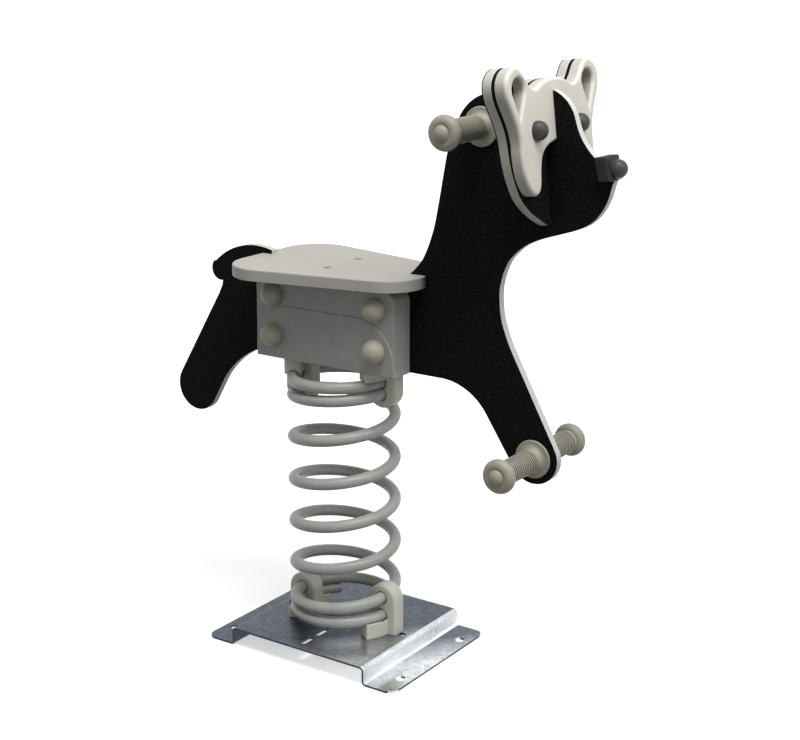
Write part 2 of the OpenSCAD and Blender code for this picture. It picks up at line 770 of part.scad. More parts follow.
module rod_nuts() {
    color(steel) both_sides() for (p = rod_places)
        difference() {
            bar(p.x, ride_h + p.y, hex_d(bolt_d), rod_face(p) + washer_t, rod_face(p) + washer_t + nut_h, 6);
            bar(p.x, ride_h + p.y, bolt_d + 2 * screw_gap, 0, rod_face(p) + 2 * nut_h);
        }
}

module dome_caps() {
    r = dome_d / 2;
    skirt = dome_h - r;
    color(cap_olive) for (p = rod_places)
        translate([p.x, rod_face(p), ride_h + p.y]) rotate([-90, 0, 0]) rotate_extrude($fn = 96) {
            translate([r - dome_wall, 0]) square([dome_wall, skirt]);
            translate([0, skirt]) intersection() {
                difference() {
                    circle(r, $fn = 96);
                    circle(r - dome_wall, $fn = 96);
                }
                square(r);
            }
        }
}

module dome_caps_left() {
    dome_caps();
}

module dome_caps_right() {
    mirror([0, 1, 0]) dome_caps();
}

// Seat

seat_rear_c = [-seat_rear + seat_rear_r, seat_half_w - seat_rear_r];
seat_front_c = [seat_front - seat_front_r, seat_front_half_w - seat_front_r];
seat_side = tangent_angle(seat_rear_c, seat_rear_r, seat_front_c, seat_front_r);
seat_outline = mirrored(concat(
    [[-seat_rear, 0]],
    arc(seat_rear_c, seat_rear_r, 180, seat_side),
    arc(seat_front_c, seat_front_r, seat_side, 0),
    [[seat_front, 0]]), [1, -1]);
seat_head_d = 13;
seat_head_h = 8;
seat_key_w = 6;

module seat_panel() {
    slot_w = panel_t + 2 * fit;
    color(seat_grey) difference() {
        translate([0, 0, seat_top - seat_t]) linear_extrude(seat_t) polygon(seat_outline);
        translate([neck_x, -slot_w / 2, seat_top - seat_t - over])
            cube([seat_front, slot_w, seat_t + 2 * over]);
        for (s = [-1, 1]) translate([0, s * seat_bolt_y, seat_top - seat_t - over]) {
            cylinder(d = seat_bolt_d + 2 * screw_gap, h = seat_t + 2 * over, $fn = 48);
            translate([0, 0, seat_t - seat_head_h])
                cylinder(d = seat_head_d + over, h = seat_head_h + 2 * over, $fn = 48);
        }
    }
}

module seat_bolts() {
    head_z = seat_top - seat_head_h - over;
    bottom = seat_top - seat_t - seat_bolt_l;
    color(steel) for (s = [-1, 1]) translate([0, s * seat_bolt_y, 0]) difference() {
        union() {
            translate([0, 0, bottom]) cylinder(d = seat_bolt_d, h = head_z - bottom + over, $fn = 48);
            translate([0, 0, head_z]) cylinder(d = seat_head_d, h = seat_head_h, $fn = 48);
        }
        translate([0, 0, head_z + seat_head_h / 2]) cylinder(d = seat_key_w, h = seat_head_h, $fn = 6);
    }
}

module seat_barrel_nuts() {
    color(steel) both_sides() difference() {
        bar(0, barrel_z, barrel_d, seat_bolt_y - barrel_l / 2, seat_bolt_y + barrel_l / 2);
        translate([0, seat_bolt_y, barrel_z - barrel_d])
            cylinder(d = seat_bolt_d + 2 * screw_gap, h = 2 * barrel_d, $fn = 48);
    }
}

// Head. In face_frame() x is the depth from the front face, y the side and z the height up the face

module face_frame() {
    translate([face_at.x, 0, face_at.y]) rotate([0, -face_tilt, 0]) children();
}

// A sheet of the head, from this depth behind the front face
module face_sheet(depth, t) {
    face_frame() translate([-depth - t, 0, 0]) rotate([90, 0, 90]) linear_extrude(t) children();
}

// The head's sheets are drawn at this width
drawn_face_w = 275;
face_scale = face_w / drawn_face_w;
face_top = [[0, 18], [18, 17], [34, 13.5], [48, 7.5], [57, 5.5], [66, 8], [76, 15.5], [83, 24], [92, 33.5],
    [104, 39.5], [116, 37.5], [127, 31.5], [135, 21.5], [137.5, 10], [135, -4], [127.6, -18.6],
    [118.7, -34.7], [111.5, -51], [107.6, -68]];
face_front_half = smooth(concat(face_top, [[107.8, -84], [106.5, -100], [102.5, -117], [95, -132],
    [85, -143.5], [74, -147.5], [64, -143], [58.5, -131], [56.5, -117], [52.8, -101], [46, -89], [33, -80.3],
    [16, -75.3], [0, -73.5]]));
face_rear_half = smooth(concat(face_top, [[105.8, -84], [102.8, -102], [96.5, -122], [83, -149], [60, -171],
    [35, -186.5], [12, -198], [0, -201]]));

// Heights up to which the slot for the panel reaches in the front plate and in the sheets behind it
front_slot_top = 0.8;
rear_slot_top = 2;
ear_hole_at = [103, 6.5];
ear_hole_tip = 42;

module ear_hole() {
    side = acos(ear_hole_r / ear_hole_tip);
    polygon(concat([ear_hole_at - [0, ear_hole_tip]], arc(ear_hole_at, ear_hole_r, side - 90, 270 - side)));
}

module face_cuts(slot_top) {
    w = panel_t + 2 * fit;
    translate([-w / 2, -face_w]) square([w, face_w + slot_top]);
    scale(face_scale) ear_hole();
    scale(face_scale) mirror([1, 0]) ear_hole();
}

stud_d = 8;
stud_l = 12;

module eye_places() {
    for (s = [-1, 1]) face_frame() translate([0, s * eye_y, -eye_drop]) rotate([0, 90, 0]) children();
}

module face_front_plate() {
    color(face_white) difference() {
        face_sheet(0, front_plate_t) difference() {
            scale(face_scale) polygon(mirrored(face_front_half, [-1, 1]));
            face_cuts(front_slot_top);
        }
        eye_places() translate([0, 0, -stud_l - over])
            cylinder(d = stud_d + 2 * screw_gap, h = stud_l + 2 * over, $fn = 48);
    }
}

module face_spacer() {
    color(panel_black) face_sheet(front_plate_t, spacer_t) difference() {
        scale(face_scale) polygon(mirrored(face_rear_half, [-1, 1]));
        face_cuts(rear_slot_top);
    }
}

back_depth = front_plate_t + spacer_t + rear_plate_t + skin_t;
// Heights of the two pairs of brackets on the rear plate
bracket_vs = [-45 * face_scale, -124 * face_scale];
bracket_bolt_x = -back_depth - (bracket_leg + bracket_t) / 2;
bracket_screw_y = panel_t / 2 + (bracket_leg + bracket_t) / 2;
bracket_screw_l = rear_plate_t - 3 * over;

module bracket_screw_places() {
    for (v = bracket_vs, s = [-1, 1])
        face_frame() translate([-back_depth, s * bracket_screw_y, v]) rotate([0, 90, 0]) children();
}

module rear_sheet(depth, t) {
    difference() {
        face_sheet(depth, t) difference() {
            scale(face_scale) polygon(mirrored(face_rear_half, [-1, 1]));
            face_cuts(rear_slot_top);
        }
        bracket_screw_places() translate([0, 0, -over])
            cylinder(d = small_bolt_d + 2 * screw_gap, h = bracket_screw_l + 2 * over, $fn = 32);
    }
}

module face_rear_plate() {
    color(face_white) rear_sheet(front_plate_t + spacer_t, rear_plate_t);
}

module face_back_skin() {
    color(panel_black) rear_sheet(front_plate_t + spacer_t + rear_plate_t, skin_t);
}

module face_brackets() {
    y0 = panel_t / 2 + fit;
    x1 = -back_depth - fit;
    color(galvanised) difference() {
        for (v = bracket_vs) face_frame() both_sides() {
            translate([x1 - bracket_t, y0, v - bracket_h / 2]) cube([bracket_t, bracket_leg, bracket_h]);
            translate([x1 - bracket_leg, y0, v - bracket_h / 2]) cube([bracket_leg, bracket_t, bracket_h]);
        }
        for (v = bracket_vs)
            face_frame() bar(bracket_bolt_x, v, small_bolt_d + 2 * screw_gap, -panel_t * 2, panel_t * 2);
        bracket_screw_places() translate([0, 0, -bracket_leg])
            cylinder(d = small_bolt_d + 2 * screw_gap, h = 2 * bracket_leg, $fn = 32);
    }
}

module face_bolts() {
    y1 = panel_t / 2 + fit + bracket_t;
    grip = bracket_t + fit;
    small_head = small_bolt_d * head_h_per_d;
    color(steel) {
        for (v = bracket_vs) face_frame() {
            bar(bracket_bolt_x, v, small_bolt_d, -y1, y1);
            bar(bracket_bolt_x, v, hex_d(small_bolt_d), -y1 - small_head, -y1, 6);
            bar(bracket_bolt_x, v, hex_d(small_bolt_d), y1, y1 + small_head, 6);
        }
        bracket_screw_places() {
            translate([0, 0, -grip]) cylinder(d = small_bolt_d, h = grip + bracket_screw_l, $fn = 32);
            translate([0, 0, -grip - small_head]) cylinder(d = hex_d(small_bolt_d), h = small_head, $fn = 6);
        }
    }
}

// A dome that stands on z = 0, with the stud that holds it below
module dome(d, h, stud) {
    r = d / 2;
    rotate_extrude($fn = 96) {
        square([r, h - r]);
        translate([0, h - r]) intersection() {
            circle(r, $fn = 96);
            square(r);
        }
        translate([0, -stud]) square([stud_d / 2, stud + over]);
    }
}

module eye(side) {
    color(dark_grey) face_frame() translate([0, side * eye_y, -eye_drop]) rotate([0, 90, 0])
        dome(eye_d, eye_h, stud_l);
}

module eye_left() {
    eye(1);
}

module eye_right() {
    eye(-1);
}

// Nose

module nose_outline() {
    polygon([for (p = [[-1, -1], [1, -1], [1, 1], [-1, 1]]) nose_at + p.x * nose_along + p.y * nose_up]);
}

// Room for the snout in the nose block
module snout_room() {
    back = -3 * nose_along;
    front = nose_along * (1 - 2 * (nose_wall - fit) / nose_l);
    top = nose_up * snout_up + [0, 2 * fit];
    upright(-panel_t / 2 - fit, panel_t / 2 + fit)
        polygon([for (p = [back - 2 * nose_up, front - 2 * nose_up, front + top, back + top]) nose_at + p]);
}

module nose_front_frame() {
    translate([nose_front.x, 0, nose_front.y]) rotate([0, 90 - nose_tilt, 0]) children();
}

nose_stud_l = nose_wall - 1.5 * over;
// The screw comes in from the left and its hole ends short of the right-hand face
nose_blind_t = 4;
nose_screw_y = nose_blind_t - nose_w / 2;

module nose_block() {
    color(dark_grey) difference() {
        upright(-nose_w / 2, nose_w / 2) nose_outline();
        snout_room();
        bar(nose_screw_at.x, nose_screw_at.y, small_bolt_d + 2 * screw_gap, nose_screw_y, nose_w);
        nose_front_frame() translate([0, 0, -nose_wall - over])
            cylinder(d = stud_d + 2 * screw_gap, h = nose_wall + 2 * over, $fn = 48);
    }
}

module nose_cap() {
    color(dark_grey) nose_front_frame() dome(nose_dome_d, nose_dome_h, nose_stud_l);
}

module nose_screw() {
    color(dark_grey)
        bar(nose_screw_at.x, nose_screw_at.y, small_bolt_d, nose_screw_y + screw_gap, nose_w / 2 - over);
}

// Grips: in grip_frame() z counts outwards from the panel's face

nut_room_d = hex_d(grip_rod_d) + 2;
grip_nut_h = nut_h_per_d * grip_rod_d;
grip_washer_t = 2;
rod_past_nut = 1;
nut_room_z = grip_l - knob_t / 2 + over;
grip_rod_end = nut_room_z + grip_washer_t + grip_nut_h + rod_past_nut;
cap_ledge_z = grip_rod_end + over;
knob_face_z = grip_l + knob_t / 2;
// Flange: thickness of its rim, and how far its dished face falls in and its hub stands out
flange_rim_t = 4;
flange_fall = 3;
hub_w = 3;
rib_half_w = 1.9;
rib_top_half_w = 1.1;
dish_depth = 1;
dish_margin = 0.5;

module grip_section() {
    r = grip_d / 2;
    core_r = r - rib_h;
    knob_r = knob_d / 2;
    flange_r = grip_flange_d / 2;
    hub_z = (flange_rim_t + grip_flange_t) / 2;
    ribs_z = grip_flange_t + (grip_l - knob_t / 2 - grip_flange_t - (rib_count - 1) * rib_pitch) / 2;
    difference() {
        union() {
            // dished flange against the panel
            polygon([[0, 0], [flange_r - over, 0], [flange_r, over], [flange_r, flange_rim_t],
                [flange_r - flange_fall, hub_z - over], [core_r + 2 * hub_w, hub_z],
                [core_r + hub_w, grip_flange_t], [0, grip_flange_t]]);
            square([core_r, grip_l]);
            for (i = [0:rib_count - 1]) translate([0, ribs_z + i * rib_pitch])
                polygon([[0, -rib_half_w], [core_r, -rib_half_w], [r, -rib_top_half_w], [r, rib_top_half_w],
                    [core_r, rib_half_w], [0, rib_half_w]]);
            // round end knob
            translate([knob_r - knob_t / 2, grip_l]) circle(knob_t / 2, $fn = 64);
            translate([0, grip_l - knob_t / 2]) square([knob_r - knob_t / 2, knob_t]);
        }
        // rod, nut and cap, and the dish round the cap
        translate([0, -over]) square([grip_rod_d / 2 + screw_gap, grip_l * 2]);
        translate([0, nut_room_z]) square([nut_room_d / 2, grip_l]);
        translate([0, cap_ledge_z]) square([grip_cap_d / 2 + fit, grip_l]);
        dish_r = grip_cap_d / 2 + dish_margin;
        polygon([[0, knob_face_z + over], [0, knob_face_z - dish_depth], [dish_r, knob_face_z - dish_depth],
            [dish_r + dish_depth + over, knob_face_z + over]]);
    }
}

module grip(at, side) {
    mirror([0, side > 0 ? 0 : 1, 0]) translate([at.x, panel_t / 2 + fit, at.y]) rotate([-90, 0, 0])
        rotate_extrude($fn = 96) grip_section();
}

// Domes over the nuts, with a short plug into the nut's room
module grip_caps(at) {
    r = grip_cap_d / 2;
    tip = knob_face_z + grip_cap_h;
    skirt = cap_ledge_z + fit;
    both_sides() translate([at.x, panel_t / 2 + fit, at.y]) rotate([-90, 0, 0]) rotate_extrude($fn = 96) {
        translate([0, skirt]) square([r, max(over / 2, tip - r - skirt)]);
        intersection() {
            translate([0, tip - r]) circle(r, $fn = 96);
            translate([0, skirt]) square([r, tip - skirt]);
        }
        translate([0, grip_rod_end + fit]) square([nut_room_d / 2 - fit, 2 * over]);
    }
}

module grip_rod(at) {
    rod_end = panel_t / 2 + fit + grip_rod_end;
    color(steel) bar(at.x, at.y, grip_rod_d, -rod_end, rod_end);
}

// Nuts and washers at both ends of a grip rod
module grip_rod_nuts(at) {
    z0 = panel_t / 2 + fit + nut_room_z;
    color(steel) both_sides() difference() {
        union() {
            bar(at.x, at.y, nut_room_d - 2 * screw_gap, z0, z0 + grip_washer_t);
            bar(at.x, at.y, hex_d(grip_rod_d), z0 + grip_washer_t, z0 + grip_washer_t + grip_nut_h, 6);
        }
        bar(at.x, at.y, grip_rod_d + 2 * screw_gap, 0, 2 * z0);
    }
}

module hand_grip_left() {
    color(cap_olive) grip(hand_grip_at, 1);
}

module hand_grip_right() {
    color(cap_olive) grip(hand_grip_at, -1);
}

module hand_grip_caps() {
    color(cap_olive) grip_caps(hand_grip_at);
}

module hand_rod() {
    grip_rod(hand_grip_at);
}

module hand_rod_nuts() {
    grip_rod_nuts(hand_grip_at);
}

module foot_peg_left() {
    color(cap_olive) grip(foot_peg_at, 1);
}

module foot_peg_right() {
    color(cap_olive) grip(foot_peg_at, -1);
}

module foot_peg_caps() {
    color(cap_olive) grip_caps(foot_peg_at);
}

module foot_rod() {
    grip_rod(foot_peg_at);
}

module foot_rod_nuts() {
    grip_rod_nuts(foot_peg_at);
}

base_plate();
lower_clamp_front();
lower_clamp_rear();
lower_clamp_bolts();
lower_clamp_washers();
coil_spring();
upper_clamp_front();
upper_clamp_rear();
upper_clamp_bolts();
upper_clamp_washers();
saddle_bracket();
body_core();
body_skin_right();
body_skin_left();
inner_block_right();
inner_block_left();
outer_block_right();
outer_block_left();
through_rods();
rod_washers();
rod_nuts();
dome_caps_right();
dome_caps_left();
seat_panel();
seat_bolts();
seat_barrel_nuts();
face_front_plate();
face_spacer();
face_rear_plate();
face_back_skin();
face_brackets();
face_bolts();
eye_right();
eye_left();
nose_block();
nose_cap();
nose_screw();
hand_grip_right();
hand_grip_left();
hand_grip_caps();
hand_rod();
hand_rod_nuts();
foot_peg_right();
foot_peg_left();
foot_peg_caps();
foot_rod();
foot_rod_nuts();
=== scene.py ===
import json
import math

import bmesh
import bpy
from bpy.props import FloatProperty, FloatVectorProperty, IntProperty, PointerProperty
from mathutils import Matrix, Vector


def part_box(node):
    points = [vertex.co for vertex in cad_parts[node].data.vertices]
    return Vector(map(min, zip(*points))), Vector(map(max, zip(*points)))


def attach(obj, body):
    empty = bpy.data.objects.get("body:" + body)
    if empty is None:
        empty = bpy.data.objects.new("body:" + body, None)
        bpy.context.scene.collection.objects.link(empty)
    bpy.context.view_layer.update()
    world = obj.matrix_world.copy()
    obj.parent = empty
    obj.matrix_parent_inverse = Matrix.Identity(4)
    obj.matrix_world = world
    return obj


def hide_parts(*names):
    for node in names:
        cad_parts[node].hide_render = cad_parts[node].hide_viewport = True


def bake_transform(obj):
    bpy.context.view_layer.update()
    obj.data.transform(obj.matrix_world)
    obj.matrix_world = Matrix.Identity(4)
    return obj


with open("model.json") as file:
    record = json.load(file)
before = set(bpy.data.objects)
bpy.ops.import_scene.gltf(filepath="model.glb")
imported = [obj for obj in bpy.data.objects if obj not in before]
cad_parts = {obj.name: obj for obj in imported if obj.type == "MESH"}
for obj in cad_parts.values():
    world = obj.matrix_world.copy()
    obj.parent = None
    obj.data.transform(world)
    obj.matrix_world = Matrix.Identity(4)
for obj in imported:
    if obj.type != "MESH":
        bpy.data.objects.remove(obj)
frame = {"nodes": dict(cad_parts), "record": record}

bl_info = {
    "name": "Spring rider",
    "version": (1, 0, 0),
    "blender": (4, 5, 0),
    "location": "View3D > Sidebar > Spring rider",
    "description": "Builds the pieces, finishes and studio of an animal-shaped spring rider",
    "category": "Add Mesh",
}

MM = 0.001
# Vertices of a CAD mesh that are closer than this are one vertex
JOIN = 0.01 * MM
# Points that are closer than this to a plane lie in it
SMALL = 0.02 * MM
# A little more than half the width of the slots that the animal's panel stands in
SLOT = 8 * MM
# Faces that meet at less than this are shaded as one smooth surface
SMOOTH = math.radians(38)
# A painted sheen: the ground plate's zinc turns to a bright colour towards its right corner at the nose end,
# as the product of a place and this direction goes from the first length to the second
PAINTED_SHEEN_WAY = (1, -0.8, 0)
PAINTED_SHEEN_FROM = 85 * MM
PAINTED_SHEEN_TO = 200 * MM
RECORD = frame["record"]
BODY_OF = {node: body for body, nodes in RECORD["behaviour"]["bodies"].items() for node in nodes}
SLOT_OF = {part["node"]: part["material_slot"] for part in RECORD["subparts"]}


def screen_colour(red, green, blue):
    """A colour as a picture editor shows it, from 0 to 255, as the linear colour that a shader takes."""
    parts = [c / 255 for c in (red, green, blue)]
    return tuple(c / 12.92 if c <= 0.04045 else ((c + 0.055) / 1.055) ** 2.4 for c in parts)


def size(name, description, default):
    return FloatProperty(name=name, description=description, default=default, min=0.0, unit="LENGTH",
                         precision=4)


def colour(name, description, red, green, blue):
    return FloatVectorProperty(name=name, description=description, subtype="COLOR", size=3, min=0.0, max=1.0,
                               default=screen_colour(red, green, blue))


def share(name, description, default):
    return FloatProperty(name=name, description=description, default=default, min=0.0, max=1.0,
                         subtype="FACTOR")


def wattage(name, description, default):
    return FloatProperty(name=name, description=description, default=default, min=0.0, subtype="POWER")


def degrees(name, description, default):
    return FloatProperty(name=name, description=description, default=math.radians(default), subtype="ANGLE")


# Sizes and colours that a user may change

class PlateSettings(bpy.types.PropertyGroup):
    # The sheet runs from the dull colour to the bright one as a painted sheen, and its fold has the bright
    # one as a painted highlight
    zinc: colour("Zinc", "Colour of the galvanised sheet where it is dull", 116, 124, 138)
    bright: colour("Bright zinc", "Colour of the galvanised sheet where it is bright", 242, 245, 250)
    sheared: colour("Sheared edge", "Colour of the sheet's cut edges", 78, 84, 98)
    spangle: size("Spangle", "Size of the zinc crystals", 9 * MM)
    roughness: share("Roughness", "Roughness of the zinc", 0.42)
    edge: size("Edge", "Rounding of the cut edges", 0.6 * MM)


class SpringSettings(bpy.types.PropertyGroup):
    coat: colour("Coat", "Colour of the spring's powder coat", 166, 166, 162)
    wire: size("Wire radius", "Radius of the wire", 10 * MM)
    coil: size("Coil radius", "Radius from the spring's axis to the wire's middle", 86.5 * MM)
    turns: FloatProperty(name="Turns", description="Number of turns", default=7.75, min=4.0)
    rise: size("Height", "Rise from the wire's middle at one end to the other", 430 * MM)
    closed_pitch: size("Closed pitch", "Rise of one closed end turn", 20.6 * MM)
    ramp: FloatProperty(name="Ramp", description="Turns over which the rise grows from closed to free",
                        default=0.85, min=0.1)
    start: degrees("Start", "Angle at which the lower end lies", 133)
    chamfer: share("Chamfer", "Chamfer of the wire's ends, as a share of the wire's radius", 0.12)
    held: size("Held depth", "How far inside its clamps the spring starts to bend", 16 * MM)
    still: size("Still length", "Half the straight length at mid height, between two bends", 12 * MM)
    sides: IntProperty(name="Sides", description="Sides of the wire's section", default=28, min=8)
    steps: IntProperty(name="Steps", description="Steps in one turn", default=60, min=12)


class ClampSettings(bpy.types.PropertyGroup):
    coat: colour("Coat", "Colour of the clamps' powder coat", 203, 201, 188)
    edge: size("Edge", "Rounding of the castings' edges", 1.6 * MM)


class PanelSettings(bpy.types.PropertyGroup):
    skin: colour("Skin", "Colour of the animal's two faces", 13, 13, 13)
    core: colour("Core", "Colour of the sheet's core, seen at its cut edges", 202, 201, 198)
    grain: size("Grain", "Size of the skin's moulded grain", 2.6 * MM)
    edge: size("Edge", "Rounding of the skin's rim", 0.7 * MM)


class BoxSettings(bpy.types.PropertyGroup):
    block: colour("Block", "Colour of the side blocks", 159, 158, 155)
    edge: size("Edge", "Rounding of the blocks' edges", 2.4 * MM)
    crest: size("Arch edge", "Rounding of the raised arch's edge", 1.6 * MM)
    cap: colour("Cap", "Colour of the dome caps", 168, 165, 147)
    cap_radius: size("Cap radius", "Radius of the dome caps", 20.2 * MM)
    cap_skirt: size("Cap skirt", "Height of the straight part of the dome caps", 2.8 * MM)
    cap_wall: size("Cap wall", "Thickness of the dome caps", 3 * MM)
    cap_edge: size("Cap edge", "Chamfer round the foot of the dome caps", 0.4 * MM)
    arch: size("Arch height", "Height of the raised arch above the block's face", 2 * MM)


class SeatSettings(bpy.types.PropertyGroup):
    sheet: colour("Sheet", "Colour of the seat", 183, 180, 173)
    top_edge: size("Top edge", "Rounding of the seat's upper rim", 2.5 * MM)
    low_edge: size("Lower edge", "Rounding of the seat's lower rim", 1.2 * MM)


class HeadSettings(bpy.types.PropertyGroup):
    sheet: colour("Sheet", "Colour of the head's two pale sheets", 212, 208, 198)
    # The sides of the head's sheets are painted darker than their faces as their shade
    cut: colour("Cut edge", "Colour of the head's pale sheets at their sides, darker as painted shade", 190, 188, 180)
    dark: colour("Dark", "Colour of the eyes and the nose's dome", 63, 63, 62)
    block: colour("Nose block", "Colour of the nose block", 40, 40, 40)
    front_edge: size("Front edge", "Rounding of the front sheet's rim", 5.5 * MM)
    seam_edge: size("Seam edge", "Rounding of the rims beside the seam", 1.4 * MM)
    slot_drop: size("Slot drop", "Height by which the front sheet's slot closes down to the panel", 0.7 * MM)
    nose_front: size("Nose front", "Rounding of the nose block's two front corners", 5.0 * MM)
    nose_edge: size("Nose edge", "Rounding of the nose block's other edges", 2.5 * MM)
    eye_radius: size("Eye radius", "Radius of the eyes", 14.7 * MM)
    eye_height: size("Eye height", "Height of the eyes", 17.5 * MM)
    eye_stud: size("Eye stud", "Radius of the stud behind an eye", 4 * MM)
    tilt: degrees("Tilt", "Angle by which the head leans back", 6.95)


class GripSettings(bpy.types.PropertyGroup):
    moulding: colour("Moulding", "Colour of the grips and pegs", 158, 155, 139)
    # Colour painted in the grooves between the ribs as their shade
    groove: colour("Grooves", "Colour of the painted groove shade between the ribs", 62, 60, 52)
    radius: size("Radius", "Radius of a grip over its ribs", 19 * MM)
    rib: size("Rib", "Height of a rib", 1.3 * MM)
    ribs: IntProperty(name="Ribs", description="Number of ribs on a grip", default=15, min=1)
    pitch: size("Rib spacing", "Distance between ribs", 4.9 * MM)
    flange: size("Flange radius", "Radius of the flange against the panel", 31 * MM)
    knob: size("Knob radius", "Radius of the end knob", 27.25 * MM)
    knob_round: size("Knob rounding", "Radius of the knob's round rim", 10.5 * MM)
    length: size("Length", "Distance from the flange's foot to the knob's middle", 103 * MM)
    rim: size("Rim", "Radius of the flange's round rim", 2.2 * MM)
    cap: size("Cap radius", "Radius of the dome in the knob", 15 * MM)
    cap_height: size("Cap height", "Height of that dome above the knob's face", 7 * MM)
    flare: size("Flare", "Radius of the hollow curve from the flange to the shaft", 9 * MM)
    collar: size("Collar", "Radius of the hollow curve from the shaft to the knob", 3 * MM)
    ribs_middle: size("Middle rib", "Distance from the flange's foot to the middle rib", 52.75 * MM)
    bore: size("Bore", "Radius of the hole for the rod", 6.2 * MM)
    room: size("Nut room", "Radius of the room for the nut in the knob", 12.8 * MM)
    room_depth: size("Nut room depth", "Depth of that room below the knob's face", 20 * MM)
    ledge: size("Ledge", "Depth of the ledge in the knob that the dome sits on", 6.4 * MM)


class StudioSettings(bpy.types.PropertyGroup):
    floor: share("Floor", "Share of the light that the floor shows back to the camera", 0.75)
    shade: share("Shade", "Light that is left in the deepest shadow on the floor", 0.56)
    bounce: share("Bounce", "Share of the light that the floor throws back on the rider", 0.16)
    clear: size("Clear", "Distance from the spring at which the floor turns to plain white", 1.5)
    sky: FloatProperty(name="Sky", description="Strength of the even light from all sides",
                       default=0.34, min=0.0)
    key: wattage("Key", "Power of the large lamp overhead", 54.0)
    front: wattage("Front", "Power of the lamp at the animal's nose end", 40.0)
    strip: wattage("Strip", "Power of the narrow lamp at the ground plate's fold", 0.14)
    strip_spread: degrees("Strip spread", "Angle within which the narrow lamp shines", 8)


# Finishes

def new_finish(name, roughness, metallic=0.0, specular=0.5):
    """A material with its shader and the object's own coordinates."""
    material = bpy.data.materials.new(name)
    material.use_nodes = True
    tree = material.node_tree
    shader = tree.nodes["Principled BSDF"]
    shader.inputs["Roughness"].default_value = roughness
    shader.inputs["Metallic"].default_value = metallic
    shader.inputs["Specular IOR Level"].default_value = specular
    return material, tree, shader, tree.nodes.new("ShaderNodeTexCoord").outputs["Object"]


def noise(tree, where, grain, detail=2.0, stretch=(1, 1, 1)):
    """Cloudy noise with spots of about this size, longer along the axes where stretch is above 1."""
    if stretch != (1, 1, 1):
        mapping = tree.nodes.new("ShaderNodeMapping")
        mapping.inputs["Scale"].default_value = [1 / s for s in stretch]
        tree.links.new(where, mapping.inputs["Vector"])
        where = mapping.outputs["Vector"]
    texture = tree.nodes.new("ShaderNodeTexNoise")
    texture.inputs["Scale"].default_value = 1 / grain
    texture.inputs["Detail"].default_value = detail
    tree.links.new(where, texture.inputs["Vector"])
    return texture.outputs[0]


def crystals(tree, where, grain):
    """Flat cells of about this size, each with its own grey."""
    texture = tree.nodes.new("ShaderNodeTexVoronoi")
    texture.inputs["Scale"].default_value = 1 / grain
    tree.links.new(where, texture.inputs["Vector"])
    grey = tree.nodes.new("ShaderNodeSeparateColor")
    tree.links.new(texture.outputs["Color"], grey.inputs["Color"])
    return grey.outputs["Red"]


def tint(tree, factor, base, dark, light, low=0.3, high=0.7):
    """Runs from a darker to a lighter form of the base colour as the factor goes from low to high."""
    ramp = tree.nodes.new("ShaderNodeValToRGB")
    for stop, place, scale in zip(ramp.color_ramp.elements, (low, high), (dark, light)):
        stop.position = place
        stop.color = [min(1.0, c * scale) for c in base] + [1.0]
    tree.links.new(factor, ramp.inputs["Fac"])
    return ramp.outputs["Color"]


def blend_colours(tree, first, second, amount, way="MULTIPLY"):
    """Lays the second colour over the first."""
    mix = tree.nodes.new("ShaderNodeMix")
    mix.data_type = "RGBA"
    mix.blend_type = way
    mix.inputs["Factor"].default_value = amount
    tree.links.new(first, mix.inputs["A"])
    tree.links.new(second, mix.inputs["B"])
    return mix.outputs["Result"]


def relief(tree, shader, height, depth, under=None):
    """Raises the surface by depth where height is 1; under is a coarser relief that it lies on."""
    bump = tree.nodes.new("ShaderNodeBump")
    bump.inputs["Distance"].default_value = depth
    tree.links.new(height, bump.inputs["Height"])
    if under:
        tree.links.new(under, bump.inputs["Normal"])
    tree.links.new(bump.outputs["Normal"], shader.inputs["Normal"])
    return bump.outputs["Normal"]


def rescale(tree, value, low, high, to_low, to_high):
    """Turns a value that runs from low to high into one that runs between two others."""
    node = tree.nodes.new("ShaderNodeMapRange")
    for socket, number in zip(("From Min", "From Max", "To Min", "To Max"), (low, high, to_low, to_high)):
        node.inputs[socket].default_value = number
    tree.links.new(value, node.inputs["Value"])
    return node.outputs["Result"]


def vary_roughness(tree, shader, factor, low, high):
    """Lets the roughness run from low to high as the factor goes from 0 to 1."""
    tree.links.new(rescale(tree, factor, 0.0, 1.0, low, high), shader.inputs["Roughness"])


def grained_sheet(name, base, grain, depth, dark, light, roughness=0.55, specular=0.35):
    """Polyethylene sheet with its fine moulded grain, between a darker and a lighter form of its colour."""
    material, tree, shader, where = new_finish(name, roughness, specular=specular)
    fine = noise(tree, where, grain, 3.0)
    broad = noise(tree, where, 60 * MM)
    speckle = tint(tree, fine, base, dark, light, 0.35, 0.68)
    patches = tint(tree, broad, (1, 1, 1), 0.93, 1.0)
    tree.links.new(blend_colours(tree, speckle, patches, 1.0), shader.inputs["Base Color"])
    relief(tree, shader, fine, depth)
    vary_roughness(tree, shader, broad, roughness - 0.06, roughness + 0.08)
    return material


def routed_edge(name, base):
    """Cut edge of a sheet, with the cutter's faint marks across its thickness."""
    material, tree, shader, where = new_finish(name, 0.5, specular=0.35)
    marks = noise(tree, where, 1.4 * MM, 2.0, (1, 14, 1))
    broad = noise(tree, where, 35 * MM)
    tree.links.new(tint(tree, broad, base, 0.94, 1.02), shader.inputs["Base Color"])
    relief(tree, shader, marks, 0.08 * MM)
    vary_roughness(tree, shader, marks, 0.42, 0.6)
    return material


def moulding(name, base, roughness, specular=0.4):
    """Smooth moulded plastic with a light texture."""
    material, tree, shader, where = new_finish(name, roughness, specular=specular)
    fine = noise(tree, where, 0.9 * MM)
    broad = noise(tree, where, 26 * MM, 3.0)
    tree.links.new(tint(tree, broad, base, 0.93, 1.05), shader.inputs["Base Color"])
    relief(tree, shader, fine, 0.025 * MM)
    vary_roughness(tree, shader, broad, roughness - 0.05, roughness + 0.08)
    return material


